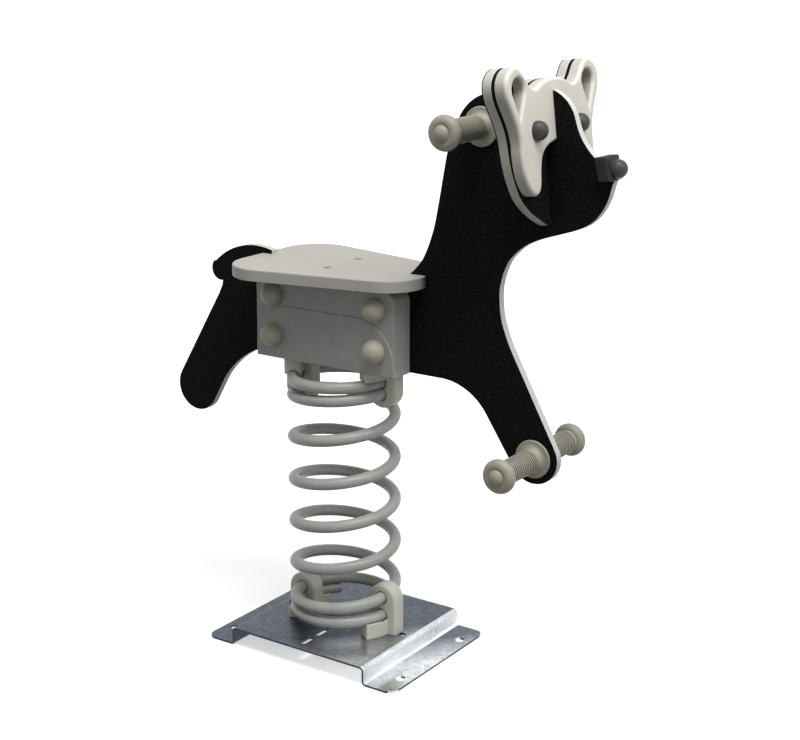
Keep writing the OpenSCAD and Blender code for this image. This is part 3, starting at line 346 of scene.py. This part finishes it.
def powder_coat(name, base, roughness):
    """Baked powder on steel, with its orange peel and a few duller patches."""
    material, tree, shader, where = new_finish(name, roughness)
    peel = noise(tree, where, 2.6 * MM, 1.0)
    dust = noise(tree, where, 0.6 * MM)
    broad = noise(tree, where, 30 * MM, 3.0)
    tree.links.new(tint(tree, broad, base, 0.93, 1.05), shader.inputs["Base Color"])
    relief(tree, shader, dust, 0.02 * MM, relief(tree, shader, peel, 0.06 * MM))
    vary_roughness(tree, shader, broad, roughness - 0.06, roughness + 0.1)
    return material


def galvanised(name, base, spangle, roughness, contrast=0.2, bright=None, glint=0.62, metallic=0.9):
    """Hot-dip zinc with its crystals, each a little lighter or darker, and fine pitting.

    Most of its small facets are darkened to the share that glint gives, and the rest stay bright. Where a
    bright colour is given, the sheet turns to it along the sheen's direction as a painted sheen and gets
    smoother.
    """
    material, tree, shader, where = new_finish(name, roughness, metallic)
    warped = tree.nodes.new("ShaderNodeVectorMath")
    warped.operation = "MULTIPLY_ADD"
    warped.inputs[1].default_value = (6 * MM, 6 * MM, 6 * MM)
    tree.links.new(noise(tree, where, 5 * MM, 3.0), warped.inputs[0])
    tree.links.new(where, warped.inputs[2])
    large = crystals(tree, warped.outputs["Vector"], spangle)
    small = crystals(tree, warped.outputs["Vector"], spangle * 0.3)
    fleck = noise(tree, where, 2.2 * MM, 4.0)
    grey = tint(tree, large, base, 1 - contrast, 1 + contrast, 0.0, 1.0)
    flecks = tint(tree, fleck, (1, 1, 1), 0.82, 1.0, 0.42, 0.62)
    facets = tint(tree, small, (1, 1, 1), glint, 1.0, 0.78, 0.96)
    pattern = blend_colours(tree, blend_colours(tree, grey, facets, 1.0), flecks, 1.0)
    relief(tree, shader, fleck, 0.02 * MM)
    # Painted sheen: towards the nose end the colour turns to the bright one
    if bright:
        along = tree.nodes.new("ShaderNodeVectorMath")
        along.operation = "DOT_PRODUCT"
        along.inputs[1].default_value = PAINTED_SHEEN_WAY
        tree.links.new(warped.outputs["Vector"], along.inputs[0])
        shift = rescale(tree, along.outputs["Value"], PAINTED_SHEEN_FROM, PAINTED_SHEEN_TO, 0.0, 1.0)
        painted_sheen = blend_colours(tree, tint(tree, large, bright, 0.9, 1.1, 0.0, 1.0), facets, 0.45)
        painted_sheen = blend_colours(tree, painted_sheen, flecks, 1.0)
        pattern = blend_colours(tree, pattern, painted_sheen, 1.0, "MIX")
        tree.links.new(shift, pattern.node.inputs["Factor"])
        vary_roughness(tree, shader, shift, roughness, 0.5 * roughness)
    else:
        vary_roughness(tree, shader, large, roughness - 0.05, roughness + 0.08)
    tree.links.new(pattern, shader.inputs["Base Color"])
    return material


def plated_steel(name, base=(0.52, 0.53, 0.55), roughness=0.32):
    """Zinc-plated screws and rods with faint turning marks."""
    material, tree, shader, where = new_finish(name, roughness, metallic=1.0)
    marks = noise(tree, where, 1.0 * MM, 2.0, (1, 4, 1))
    tree.links.new(tint(tree, marks, base, 0.88, 1.06), shader.inputs["Base Color"])
    vary_roughness(tree, shader, marks, roughness - 0.06, roughness + 0.12)
    return material


def finish(name, maker, *values, **named):
    """The material of this name, made once."""
    return bpy.data.materials.get(name) or maker(name, *values, **named)


def black_sheet(context):
    """The sheet of the animal's two faces, also between and behind the head's pale sheets."""
    s = context.scene.rider_panel
    return finish("Black grained sheet", grained_sheet, s.skin, s.grain, 0.1 * MM, 0.0, 5.0, 0.6, 0.02)


def dark_moulding(context):
    """The moulding of the eyes and of the nose's dome."""
    return finish("Dark moulding", moulding, context.scene.rider_head.dark, 0.4, 0.22)


# Shapes

def cad_copy(node):
    """A CAD node's mesh with its loose triangles joined and its flat faces whole."""
    bm = bmesh.new()
    bm.from_mesh(frame["nodes"][node].data)
    bmesh.ops.remove_doubles(bm, verts=bm.verts, dist=JOIN)
    bmesh.ops.dissolve_limit(bm, angle_limit=math.radians(0.2), verts=bm.verts, edges=bm.edges)
    return bm


def corner_edges(bm, least=math.radians(40)):
    """Edges where two faces meet at an outward corner."""
    return [e for e in bm.edges if len(e.link_faces) == 2 and e.is_convex and e.calc_face_angle(0) > least]


def rims(bm, way, high=True):
    """The corner edges round the flat face that lies furthest along a direction, or furthest against it."""
    depth = {v: v.co.dot(way) for v in bm.verts}
    level = max(depth.values()) if high else min(depth.values())
    return [e for e in corner_edges(bm) if all(abs(depth[v] - level) < SMALL for v in e.verts)]


def round_off(bm, edges, radius, segments):
    """Rounds edges to this radius."""
    bmesh.ops.bevel(bm, geom=edges, offset=radius, offset_type="OFFSET", segments=segments, profile=0.5,
                    affect="EDGES", clamp_overlap=False, loop_slide=True, material=-1)


def reach(edge):
    """How far an edge gets from the animal's middle plane."""
    return max(abs(v.co.y) for v in edge.verts)


def add_piece(bm, name, materials, nodes):
    """Makes an object of a bmesh, with soft normals; it stands for these CAD nodes."""
    mesh = bpy.data.meshes.new(name)
    bm.to_mesh(mesh)
    bm.free()
    mesh.shade_smooth()
    mesh.set_sharp_from_angle(angle=SMOOTH)
    for material in materials:
        mesh.materials.append(material)
    piece = bpy.data.objects.new(name, mesh)
    bpy.context.scene.collection.objects.link(piece)
    normals = piece.modifiers.new("Weighted normals", "WEIGHTED_NORMAL")
    normals.keep_sharp = True
    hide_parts(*nodes)
    return piece


def dress(node, bm, *materials):
    """Puts a finished bmesh in a CAD node's place, on the same body."""
    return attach(add_piece(bm, node + "_shape", materials, [node]), BODY_OF[node])


def paint(node, material):
    """Gives a CAD node that stays its finish."""
    for slot in frame["nodes"][node].material_slots:
        slot.material = material


def spun(profile, sides=96, closed=False):
    """A round solid about Z from the profile's radii and heights."""
    bm = bmesh.new()
    verts = [bm.verts.new((r, 0, z)) for r, z in profile]
    edges = [bm.edges.new(pair) for pair in zip(verts, verts[1:] + verts[:1] if closed else verts[1:])]
    bmesh.ops.spin(bm, geom=verts + edges, cent=(0, 0, 0), axis=(0, 0, 1), dvec=(0, 0, 0), angle=math.tau,
                   space=Matrix.Identity(4), steps=sides, use_merge=True)
    bmesh.ops.remove_doubles(bm, verts=bm.verts, dist=JOIN)
    bmesh.ops.recalc_face_normals(bm, faces=bm.faces)
    return bm


def soft_rim(bm, side, radius, drop=0.0, steps=6):
    """Rounds the rims of a sheet's flat face at its +X or -X side to an even width.

    The edges of its slot stay sharp, and the slot's top comes down by drop at this face.
    """
    mark = bm.verts.layers.int.new("slot")
    level = max(v.co.x * side for v in bm.verts) - SMALL
    cap = {f for f in bm.faces if all(v.co.x * side > level for v in f.verts)}
    verts = {v for f in cap for v in f.verts}
    middle = [v for v in verts if abs(v.co.y) < SLOT]
    edge = abs(min(middle, key=lambda v: v.co.z).co.y)
    walls = [v for v in middle if abs(abs(v.co.y) - edge) < SMALL]
    top = max(v.co.z for v in walls)
    for v in walls:
        v[mark] = 2 if v.co.z > top - SMALL else 1
    bmesh.ops.translate(bm, verts=list(verts), vec=(-side * radius, 0, 0))
    for i in range(steps):
        a, b = (math.pi / 2 * (i + k) / steps for k in (0, 1))
        inward = radius * (math.cos(a) - math.cos(b))
        outward = radius * (math.sin(b) - math.sin(a))
        bmesh.ops.inset_region(bm, faces=list(cap), use_boundary=True, use_even_offset=True,
                               thickness=inward, depth=outward)
        for v in {v for f in cap for v in f.verts if v[mark]}:
            v.co.y = math.copysign(edge, v.co.y)
            if v[mark] == 2:
                v.co.z = top
    border = [e for e in {e for f in cap for e in f.edges} if not all(f in cap for f in e.link_faces)]
    bmesh.ops.delete(bm, geom=list(cap), context="FACES_KEEP_BOUNDARY")
    bmesh.ops.triangle_fill(bm, edges=border, use_beauty=True, normal=(side, 0, 0))
    bmesh.ops.translate(bm, verts=[v for v in bm.verts if v[mark] == 2], vec=(0, 0, -drop))
    bm.verts.layers.int.remove(mark)


def put(bm, place, way):
    """Turns a shape that stands on Z so that it points this way, and moves it to its place."""
    turn = Vector((0, 0, 1)).rotation_difference(Vector(way)).to_matrix().to_4x4()
    bmesh.ops.transform(bm, matrix=Matrix.Translation(place) @ turn, verts=bm.verts)
    return bm


def together(shapes):
    """One bmesh from several."""
    whole = bmesh.new()
    for bm in shapes:
        mesh = bpy.data.meshes.new("part")
        bm.to_mesh(mesh)
        bm.free()
        whole.from_mesh(mesh)
        bpy.data.meshes.remove(mesh)
    return whole


def arc(middle, radius, start, end, steps):
    """Points of a profile round a middle, between two angles in degrees."""
    angles = [math.radians(start + (end - start) * i / steps) for i in range(steps + 1)]
    return [(middle[0] + radius * math.cos(a), middle[1] + radius * math.sin(a)) for a in angles]


# Operators, one for each group of like pieces

class RIDER_OT_ground_plate(bpy.types.Operator):
    """Folded ground plate with its galvanised faces, a painted sheen and highlight towards the nose end, and
    darker cut edges
    """
    bl_idname = "rider.ground_plate"
    bl_label = "Ground plate"

    def execute(self, context):
        s = context.scene.rider_plate
        bm = cad_copy("base_plate")
        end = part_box("base_plate")[1].x
        for face in bm.faces:
            middle = face.calc_center_median()
            cut = abs(face.normal.y) > 0.9 or abs(middle.x) > end - SMALL
            # Faces of the fold turned to the nose end get a lighter zinc as a painted highlight
            fold = face.normal.x > 0.2 and middle.x > 0
            face.material_index = 1 if cut else 2 if fold else 0
        across = Vector((0, 1, 0))
        round_off(bm, rims(bm, across) + rims(bm, across, False), s.edge, 2)
        # The zinc turns bright towards the nose end as a painted sheen
        zinc = finish("Galvanised zinc", galvanised, s.zinc, s.spangle, s.roughness, 0.16, s.bright)
        edge = finish("Sheared zinc edge", galvanised, s.sheared, s.spangle, s.roughness + 0.15, 0.1)
        # A lighter copy of the zinc, painted on the fold as its highlight
        painted_highlight_zinc = finish("Bright galvanised zinc", galvanised, s.bright, s.spangle, s.roughness, 0.08,
                     glint=0.86, metallic=0.5)
        dress("base_plate", bm, zinc, edge, painted_highlight_zinc)
        paint("saddle_bracket", zinc)
        paint("face_brackets", zinc)
        return {"FINISHED"}


class RIDER_OT_clamps(bpy.types.Operator):
    """Four cast clamps that hold the ends of the spring"""
    bl_idname = "rider.clamps"
    bl_label = "Clamps"

    def execute(self, context):
        s = context.scene.rider_clamps
        coat = finish("Beige powder coat", powder_coat, s.coat, 0.46)
        for node in ("lower_clamp_front", "lower_clamp_rear", "upper_clamp_front", "upper_clamp_rear"):
            bm = cad_copy(node)
            round_off(bm, corner_edges(bm, math.radians(50)), s.edge, 3)
            dress(node, bm, coat)
        return {"FINISHED"}


class RIDER_OT_coil_spring(bpy.types.Operator):
    """Coil spring in two pieces, one for each half of its turns"""
    bl_idname = "rider.coil_spring"
    bl_label = "Coil spring"

    def wire_height(self, s, turn):
        """Height above the lower end after this many turns."""
        end_turns = 1 + s.ramp
        free_rise = s.rise - 2 * s.closed_pitch * end_turns + s.closed_pitch * s.ramp
        free = free_rise / (s.turns - 2 * end_turns + s.ramp)

        def end_rise(turns):
            t = max(0.0, turns - 1) / s.ramp
            return s.closed_pitch * turns + (free - s.closed_pitch) * s.ramp * (t ** 3 - t ** 4 / 2)

        if turn < end_turns:
            return end_rise(turn)
        if turn > s.turns - end_turns:
            return s.rise - end_rise(s.turns - turn)
        return end_rise(end_turns) + free * (turn - end_turns)

    def wire(self, s, first, last, low_end, high_end):
        """The wire between two turns; an end that is open to view runs straight and is chamfered."""
        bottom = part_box("coil_spring")[0].z + s.wire
        angle = s.start + math.tau * first
        out = Vector((math.cos(angle), math.sin(angle), 0))
        along = Vector((-out.y, out.x, 0))
        place = out * s.coil + Vector((0, 0, bottom + self.wire_height(s, first)))
        turn = Matrix((out, Vector((0, 0, 1)), -along)).transposed().to_4x4()
        bm = bmesh.new()
        ring = bmesh.ops.create_circle(bm, segments=s.sides, radius=s.wire,
                                       matrix=Matrix.Translation(place) @ turn)
        first_edges = list({e for v in ring["verts"] for e in v.link_edges})
        edges = first_edges
        steps = round((last - first) * s.steps)
        for i in range(steps):
            t0, t1 = (first + (last - first) * (i + k) / steps for k in (0, 1))
            rise = self.wire_height(s, t1) - self.wire_height(s, t0)
            made = bmesh.ops.spin(bm, geom=edges, cent=(0, 0, 0), axis=(0, 0, 1), dvec=(0, 0, rise),
                                  angle=math.tau * (t1 - t0), space=Matrix.Identity(4), steps=1)
            edges = [g for g in made["geom_last"] if isinstance(g, bmesh.types.BMEdge)]
        angle = s.start + math.tau * last
        last_way = Vector((-math.sin(angle), math.cos(angle), 0))
        chamfer = s.wire * s.chamfer
        straight_end = ((2 * s.wire - chamfer, 1.0), (chamfer, 1 - s.chamfer))
        for loop, way, shown in ((first_edges, -along, low_end), (edges, last_way, high_end)):
            for run, scale in straight_end if shown else ():
                made = bmesh.ops.extrude_edge_only(bm, edges=loop)
                verts = [g for g in made["geom"] if isinstance(g, bmesh.types.BMVert)]
                loop = [g for g in made["geom"] if isinstance(g, bmesh.types.BMEdge) and
                        all(v in verts for v in g.verts)]
                bmesh.ops.translate(bm, verts=verts, vec=way * run)
                middle = sum((v.co for v in verts), Vector()) / len(verts)
                bmesh.ops.scale(bm, verts=verts, vec=(scale,) * 3, space=Matrix.Translation(-middle))
            bmesh.ops.contextual_create(bm, geom=loop)
        bmesh.ops.recalc_face_normals(bm, faces=bm.faces)
        return bm

    def execute(self, context):
        s = context.scene.rider_spring
        coat = finish("Grey powder coat", powder_coat, s.coat, 0.34)
        # Share of a turn that the straight end of two wire radii takes
        straight = s.wire / (math.pi * s.coil)
        cut = s.turns / 2
        lower = self.wire(s, straight, cut, True, False)
        lower = add_piece(lower, "coil_spring_lower_turns", [coat], ["coil_spring"])
        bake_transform(lower)
        upper = self.wire(s, cut, s.turns - straight, False, True)
        upper = add_piece(upper, "coil_spring_upper_turns", [coat], ["coil_spring"])
        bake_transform(upper)
        return {"FINISHED"}


class RIDER_OT_fasteners(bpy.types.Operator):
    """Rods, bolts, nuts and washers"""
    bl_idname = "rider.fasteners"
    bl_label = "Fasteners"

    def execute(self, context):
        steel = finish("Plated steel", plated_steel)
        for node, slot in SLOT_OF.items():
            if slot == "zinc_steel":
                paint(node, steel)
        return {"FINISHED"}


class RIDER_OT_animal_panel(bpy.types.Operator):
    """The animal's one big sheet: two black skins on a pale core"""
    bl_idname = "rider.animal_panel"
    bl_label = "Animal panel"

    def execute(self, context):
        s = context.scene.rider_panel
        skin = black_sheet(context)
        dress("body_core", cad_copy("body_core"), finish("Pale sheet core", routed_edge, s.core))
        for node, side in (("body_skin_right", -1), ("body_skin_left", 1)):
            bm = cad_copy(node)
            round_off(bm, rims(bm, Vector((0, side, 0))), s.edge, 2)
            dress(node, bm, skin)
        return {"FINISHED"}


class RIDER_OT_side_boxes(bpy.types.Operator):
    """Side blocks with their raised arches, and the dome caps over the nuts"""
    bl_idname = "rider.side_boxes"
    bl_label = "Side boxes"

    def cap(self, s):
        """A dome cap with its wall, standing on Z."""
        inside = s.cap_radius - s.cap_wall
        profile = [(inside, 0), (s.cap_radius - s.cap_edge, 0), (s.cap_radius, s.cap_edge)]
        profile += arc((0, s.cap_skirt), s.cap_radius, 0, 90, 30)
        profile += arc((0, s.cap_skirt), inside, 90, 0, 16)
        return spun(profile + [(inside, 0)], 72)

    def execute(self, context):
        s = context.scene.rider_box
        grey = finish("Grey moulding", moulding, s.block, 0.5)
        olive = finish("Olive caps", moulding, s.cap, 0.45)
        for side, name in ((-1, "right"), (1, "left")):
            way = Vector((0, side, 0))
            inner = cad_copy("inner_block_" + name)
            round_off(inner, rims(inner, way) + rims(inner, way, False), s.edge, 3)
            dress("inner_block_" + name, inner, grey)
            outer = cad_copy("outer_block_" + name)
            round_off(outer, rims(outer, way, False), s.edge, 3)
            face = max(v.co.y * side for v in outer.verts)
            arch = [e for e in corner_edges(outer) if all(v.co.y * side > face - 2 * s.arch for v in e.verts)]
            round_off(outer, arch, s.crest, 3)
            dress("outer_block_" + name, outer, grey)
            low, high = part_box("dome_caps_" + name)
            r = s.cap_radius
            caps = []
            for x in (low.x + r, high.x - r):
                # The lower caps stand on the arch and the upper ones on the face behind it
                for z, foot in ((low.z + r, face), (high.z - r, face - s.arch)):
                    caps.append(put(self.cap(s), Vector((x, side * foot, z)), way))
            dress("dome_caps_" + name, together(caps), olive)
        return {"FINISHED"}


class RIDER_OT_seat(bpy.types.Operator):
    """Seat sheet with softly rounded rims"""
    bl_idname = "rider.seat"
    bl_label = "Seat"

    def outline(self, edges):
        """Leaves out the edges of the seat's slot and of its two bolt holes."""
        return [e for e in edges if reach(e) > SLOT + SMALL
                and (reach(e) > 60 * MM or max(abs(v.co.x) for v in e.verts) > 20 * MM)]

    def execute(self, context):
        s = context.scene.rider_seat
        up = Vector((0, 0, 1))
        bm = cad_copy("seat_panel")
        round_off(bm, self.outline(rims(bm, up)), s.top_edge, 4)
        round_off(bm, self.outline(rims(bm, up, False)), s.low_edge, 3)
        sheet = finish("Warm grey grained sheet", grained_sheet, s.sheet, 1.6 * MM, 0.07 * MM, 0.96, 1.04)
        dress("seat_panel", bm, sheet)
        return {"FINISHED"}


class RIDER_OT_head(bpy.types.Operator):
    """Head sheets with round rims, the dark sheet between them, and the eyes"""
    bl_idname = "rider.head"
    bl_label = "Head"

    def execute(self, context):
        s = context.scene.rider_head
        tilted = Matrix.Rotation(-s.tilt, 4, "Y")
        way = tilted @ Vector((1, 0, 0))
        pale = finish("Off-white grained sheet", grained_sheet, s.sheet, 1.4 * MM, 0.06 * MM, 0.97, 1.03, 0.5)
        # Routed edge in the sides' darker colour, which is painted shade
        cut = finish("Off-white cut edge", routed_edge, s.cut)
        for node, front, drop in (("face_front_plate", s.front_edge, s.slot_drop),
                                  ("face_rear_plate", s.seam_edge, 0.0)):
            bm = cad_copy(node)
            bmesh.ops.transform(bm, matrix=tilted.inverted(), verts=bm.verts)
            soft_rim(bm, 1, front, drop)
            soft_rim(bm, -1, s.seam_edge)
            # The sides, whose normals run across the sheet, get the darker colour as painted shade
            for face in bm.faces:
                face.material_index = int(abs(face.normal.x) < 0.1)
            bmesh.ops.transform(bm, matrix=tilted, verts=bm.verts)
            dress(node, bm, pale, cut)
        for node in ("face_spacer", "face_back_skin"):
            dress(node, cad_copy(node), black_sheet(context))
        middle = s.eye_height - s.eye_radius
        start = math.degrees(math.asin(-middle / s.eye_radius))
        for node in ("eye_right", "eye_left"):
            points = [v.co for v in frame["nodes"][node].data.vertices]
            depths = [p.dot(way) for p in points]
            foot = [p for p, depth in zip(points, depths) if depth < min(depths) + SMALL]
            stud = max(depths) - min(depths) - s.eye_height
            dome = [(0, -stud), (s.eye_stud, -stud), (s.eye_stud, 0)]
            dome += arc((0, middle), s.eye_radius, start, 90, 34)
            place = sum(foot, Vector()) / len(foot) + way * stud
            dress(node, put(spun(dome), place, way), dark_moulding(context))
        return {"FINISHED"}


class RIDER_OT_nose(bpy.types.Operator):
    """Nose block with its dome and screw"""
    bl_idname = "rider.nose"
    bl_label = "Nose"

    def upright(self, edge):
        """Whether an edge climbs further than it runs along and across the animal together."""
        run = edge.verts[0].co - edge.verts[1].co
        return abs(run.z) > abs(run.x) + abs(run.y)

    def execute(self, context):
        s = context.scene.rider_head
        block = finish("Nose block moulding", moulding, s.block, 0.45, 0.12)
        bm = cad_copy("nose_block")
        low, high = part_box("nose_block")
        corners = [e for e in corner_edges(bm) if reach(e) > high.y - SMALL and self.upright(e)
                   and sum(v.co.x for v in e.verts) > low.x + high.x]
        round_off(bm, corners, s.nose_front, 5)
        # The short edges that this rounding leaves stay as they are
        edges = [e for e in corner_edges(bm) if reach(e) > high.y - s.nose_front
                 and e.calc_length() > 0.5 * MM]
        round_off(bm, edges, s.nose_edge, 4)
        dress("nose_block", bm, block)
        for node in ("nose_cap", "nose_screw"):
            dress(node, cad_copy(node), dark_moulding(context))
        return {"FINISHED"}


class RIDER_OT_grips(bpy.types.Operator):
    """Hand grips and foot pegs with ribs, round knobs and dome caps"""
    bl_idname = "rider.grips"
    bl_label = "Grips"

    def section(self, s):
        """Closed section of a grip: flange, ribbed shaft and knob outside; rod, nut and cap inside."""
        shaft = s.radius - s.rib
        section = [(s.bore, 0)] + arc((s.flange - s.rim, s.rim), s.rim, -90, 90, 10)
        section += arc((shaft + s.flare, 2 * s.rim + s.flare), s.flare, -90, -180, 12)
        first = s.ribs_middle - (s.ribs - 1) * s.pitch / 2
        # Millimetres from a rib's middle, and the share of its height there
        rib = ((-1.7, 0), (-1.4, 0.75), (-0.8, 1), (0.8, 1), (1.4, 0.75), (1.7, 0))
        for i in range(s.ribs):
            section += [(shaft + up * s.rib, first + i * s.pitch + along * MM) for along, up in rib]
        back = s.length - s.knob_round
        section += arc((shaft + s.collar, back - s.collar), s.collar, 180, 90, 6)
        section += arc((s.knob - s.knob_round, s.length), s.knob_round, -83, 90, 30)
        face = s.length + s.knob_round
        # The face dips to the foot of the dome and then follows the dome down, just clear of it
        lip = ((15.6, 0.1), (14.7, 0.35), (13.8, 0.6))
        section += [(r * MM, face - depth * MM) for r, depth in lip]
        section += arc((0, face + s.cap_height - s.cap), s.cap + 0.1 * MM, 28.7, 6, 6)
        inside = ((s.room, s.ledge), (s.room, s.room_depth), (s.bore, s.room_depth))
        return section + [(r, face - depth) for r, depth in inside]

    def execute(self, context):
        s = context.scene.rider_grips
        olive = finish("Olive moulding", moulding, s.moulding, 0.45)
        # A darker copy of the moulding, painted in the grooves as their shade
        groove = finish("Olive moulding in the grooves", moulding, s.groove, 0.6)
        for kind in ("hand_grip", "foot_peg"):
            for side, name in ((-1, "right"), (1, "left")):
                node = f"{kind}_{name}"
                low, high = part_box(node)
                middle = (low + high) / 2
                foot = Vector((middle.x, low.y if side > 0 else high.y, middle.z))
                bm = spun(self.section(s), 96, True)
                # The grooves lie between flange and knob, and the bore's wall isn't one of them; they get the
                # darker moulding as painted shade
                for face in bm.faces:
                    place = face.calc_center_median()
                    between = 16 * MM < place.z < s.length - 15 * MM
                    outside = place.xy.length > 8 * MM
                    deep = place.xy.length < s.radius - 0.3 * s.rib
                    face.material_index = int(between and outside and deep)
                dress(node, put(bm, foot, Vector((0, side, 0))), olive, groove)
            dress(kind + "_caps", cad_copy(kind + "_caps"), olive)
        return {"FINISHED"}


class RIDER_OT_studio(bpy.types.Operator):
    """Pale floor, soft lamps and the camera"""
    bl_idname = "rider.studio"
    bl_label = "Studio"

    def lamp(self, name, place, aim, width, height, power, spread=math.pi):
        """A rectangular lamp of this width and height in metres, turned to what it lights."""
        light = bpy.data.lights.new(name, "AREA")
        light.shape = "RECTANGLE"
        light.size, light.size_y = width, height
        light.energy = power
        light.spread = spread
        lamp = bpy.data.objects.new(name, light)
        lamp.visible_camera = False
        lamp.location = place
        lamp.rotation_euler = (Vector(aim) - Vector(place)).to_track_quat("-Z", "Y").to_euler()
        bpy.context.scene.collection.objects.link(lamp)

    def seen(self, tree):
        """1 for rays that the camera sees straight, mirrored or through glass, and 0 for all other light."""
        path = tree.nodes.new("ShaderNodeLightPath")
        value = path.outputs["Is Camera Ray"]
        for ray in ("Is Glossy Ray", "Is Transmission Ray"):
            value = self.combine(tree, "MAXIMUM", value, path.outputs[ray])
        return value

    def combine(self, tree, way, first, second):
        """One value from two, by a Math node that works in this way."""
        node = tree.nodes.new("ShaderNodeMath")
        node.operation = way
        tree.links.new(first, node.inputs[0])
        tree.links.new(second, node.inputs[1])
        return node.outputs[0]

    def add_floor(self, s):
        """A wide floor that keeps the rider's shadow near it and is plain white further out."""
        bm = bmesh.new()
        bmesh.ops.create_grid(bm, x_segments=1, y_segments=1, size=60,
                              matrix=Matrix.Translation((0, 0, -0.2 * MM)))
        mesh = bpy.data.meshes.new("Floor")
        bm.to_mesh(mesh)
        bm.free()
        floor = bpy.data.objects.new("Floor", mesh)
        bpy.context.scene.collection.objects.link(floor)
        material, tree, shader, where = new_finish("Pale floor", 0.9, specular=0.0)
        seen = self.seen(tree)
        distance = tree.nodes.new("ShaderNodeVectorMath")
        distance.operation = "LENGTH"
        tree.links.new(where, distance.inputs[0])
        # The shadow fades out over the last part of the clear distance
        far = rescale(tree, distance.outputs["Value"], s.clear * 0.55, s.clear, 0.0, 1.0)
        glow = self.combine(tree, "MULTIPLY", seen, rescale(tree, far, 0.0, 1.0, s.shade, 1.0))
        tree.links.new(glow, shader.inputs["Emission Strength"])
        shader.inputs["Emission Color"].default_value = (1, 1, 1, 1)
        shown = tree.nodes.new("ShaderNodeCombineColor")
        level = rescale(tree, seen, 0.0, 1.0, s.bounce, s.floor)
        for socket in shown.inputs:
            if socket.enabled:
                tree.links.new(level, socket)
        tree.links.new(shown.outputs["Color"], shader.inputs["Base Color"])
        mesh.materials.append(material)

    def add_world(self, s):
        """Even light from all sides, behind a white background."""
        world = bpy.data.worlds.new("Studio")
        bpy.context.scene.world = world
        world.use_nodes = True
        tree = world.node_tree
        background = tree.nodes["Background"]
        strength = rescale(tree, self.seen(tree), 0.0, 1.0, s.sky, 1.0)
        tree.links.new(strength, background.inputs["Strength"])
        background.inputs["Color"].default_value = (1, 1, 1, 1)

    def add_camera(self):
        """A camera that sees the rider as the photograph does."""
        camera = bpy.data.cameras.new("Camera")
        camera.lens, camera.sensor_width = 71.18, 36.0
        camera.clip_start, camera.clip_end = 0.05, 200
        view = bpy.data.objects.new("Camera", camera)
        view.location = (1.5357, -2.0605, 1.1900)
        aim = Vector((0.1150, 0.0, 0.5031))
        view.rotation_euler = (aim - view.location).to_track_quat("-Z", "Y").to_euler()
        bpy.context.scene.collection.objects.link(view)
        bpy.context.scene.camera = view

    def execute(self, context):
        s = context.scene.rider_studio
        self.add_floor(s)
        self.add_world(s)
        middle = (0.1, 0, 0.55)
        fold = (0.178, 0.04, 0.012)
        self.lamp("Key", (0.85, -0.65, 3.1), middle, 1.2, 1.2, s.key)
        self.lamp("Front", (2.5, 0.0, 2.6), middle, 1.6, 1.6, s.front)
        self.lamp("Strip", (0.5, 0.04, 0.42), fold, 0.3, 0.04, s.strip, s.strip_spread)
        self.add_camera()
        context.scene.view_settings.view_transform = "Standard"
        return {"FINISHED"}


SETTINGS = {
    "rider_plate": PlateSettings, "rider_spring": SpringSettings, "rider_clamps": ClampSettings,
    "rider_panel": PanelSettings, "rider_box": BoxSettings, "rider_seat": SeatSettings,
    "rider_head": HeadSettings, "rider_grips": GripSettings, "rider_studio": StudioSettings,
}
OPERATORS = (
    RIDER_OT_studio, RIDER_OT_ground_plate, RIDER_OT_clamps, RIDER_OT_coil_spring, RIDER_OT_fasteners,
    RIDER_OT_animal_panel, RIDER_OT_side_boxes, RIDER_OT_seat, RIDER_OT_head, RIDER_OT_nose, RIDER_OT_grips,
)


class RIDER_PT_pieces(bpy.types.Panel):
    """Lists the pieces of the spring rider"""
    bl_idname = "RIDER_PT_pieces"
    bl_label = "Spring rider"
    bl_space_type = "VIEW_3D"
    bl_region_type = "UI"
    bl_category = "Spring rider"

    def draw(self, context):
        for operator in OPERATORS:
            self.layout.operator(operator.bl_idname)


def register():
    for cls in (*SETTINGS.values(), *OPERATORS, RIDER_PT_pieces):
        bpy.utils.register_class(cls)
    for name, cls in SETTINGS.items():
        setattr(bpy.types.Scene, name, PointerProperty(type=cls))


def unregister():
    for name in SETTINGS:
        delattr(bpy.types.Scene, name)
    for cls in (RIDER_PT_pieces, *reversed(OPERATORS), *reversed(SETTINGS.values())):
        bpy.utils.unregister_class(cls)


def main():
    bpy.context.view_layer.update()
    register()
    for operator in OPERATORS:
        group, name = operator.bl_idname.split(".")
        getattr(getattr(bpy.ops, group), name)()


if __name__ == "__main__":
    main()
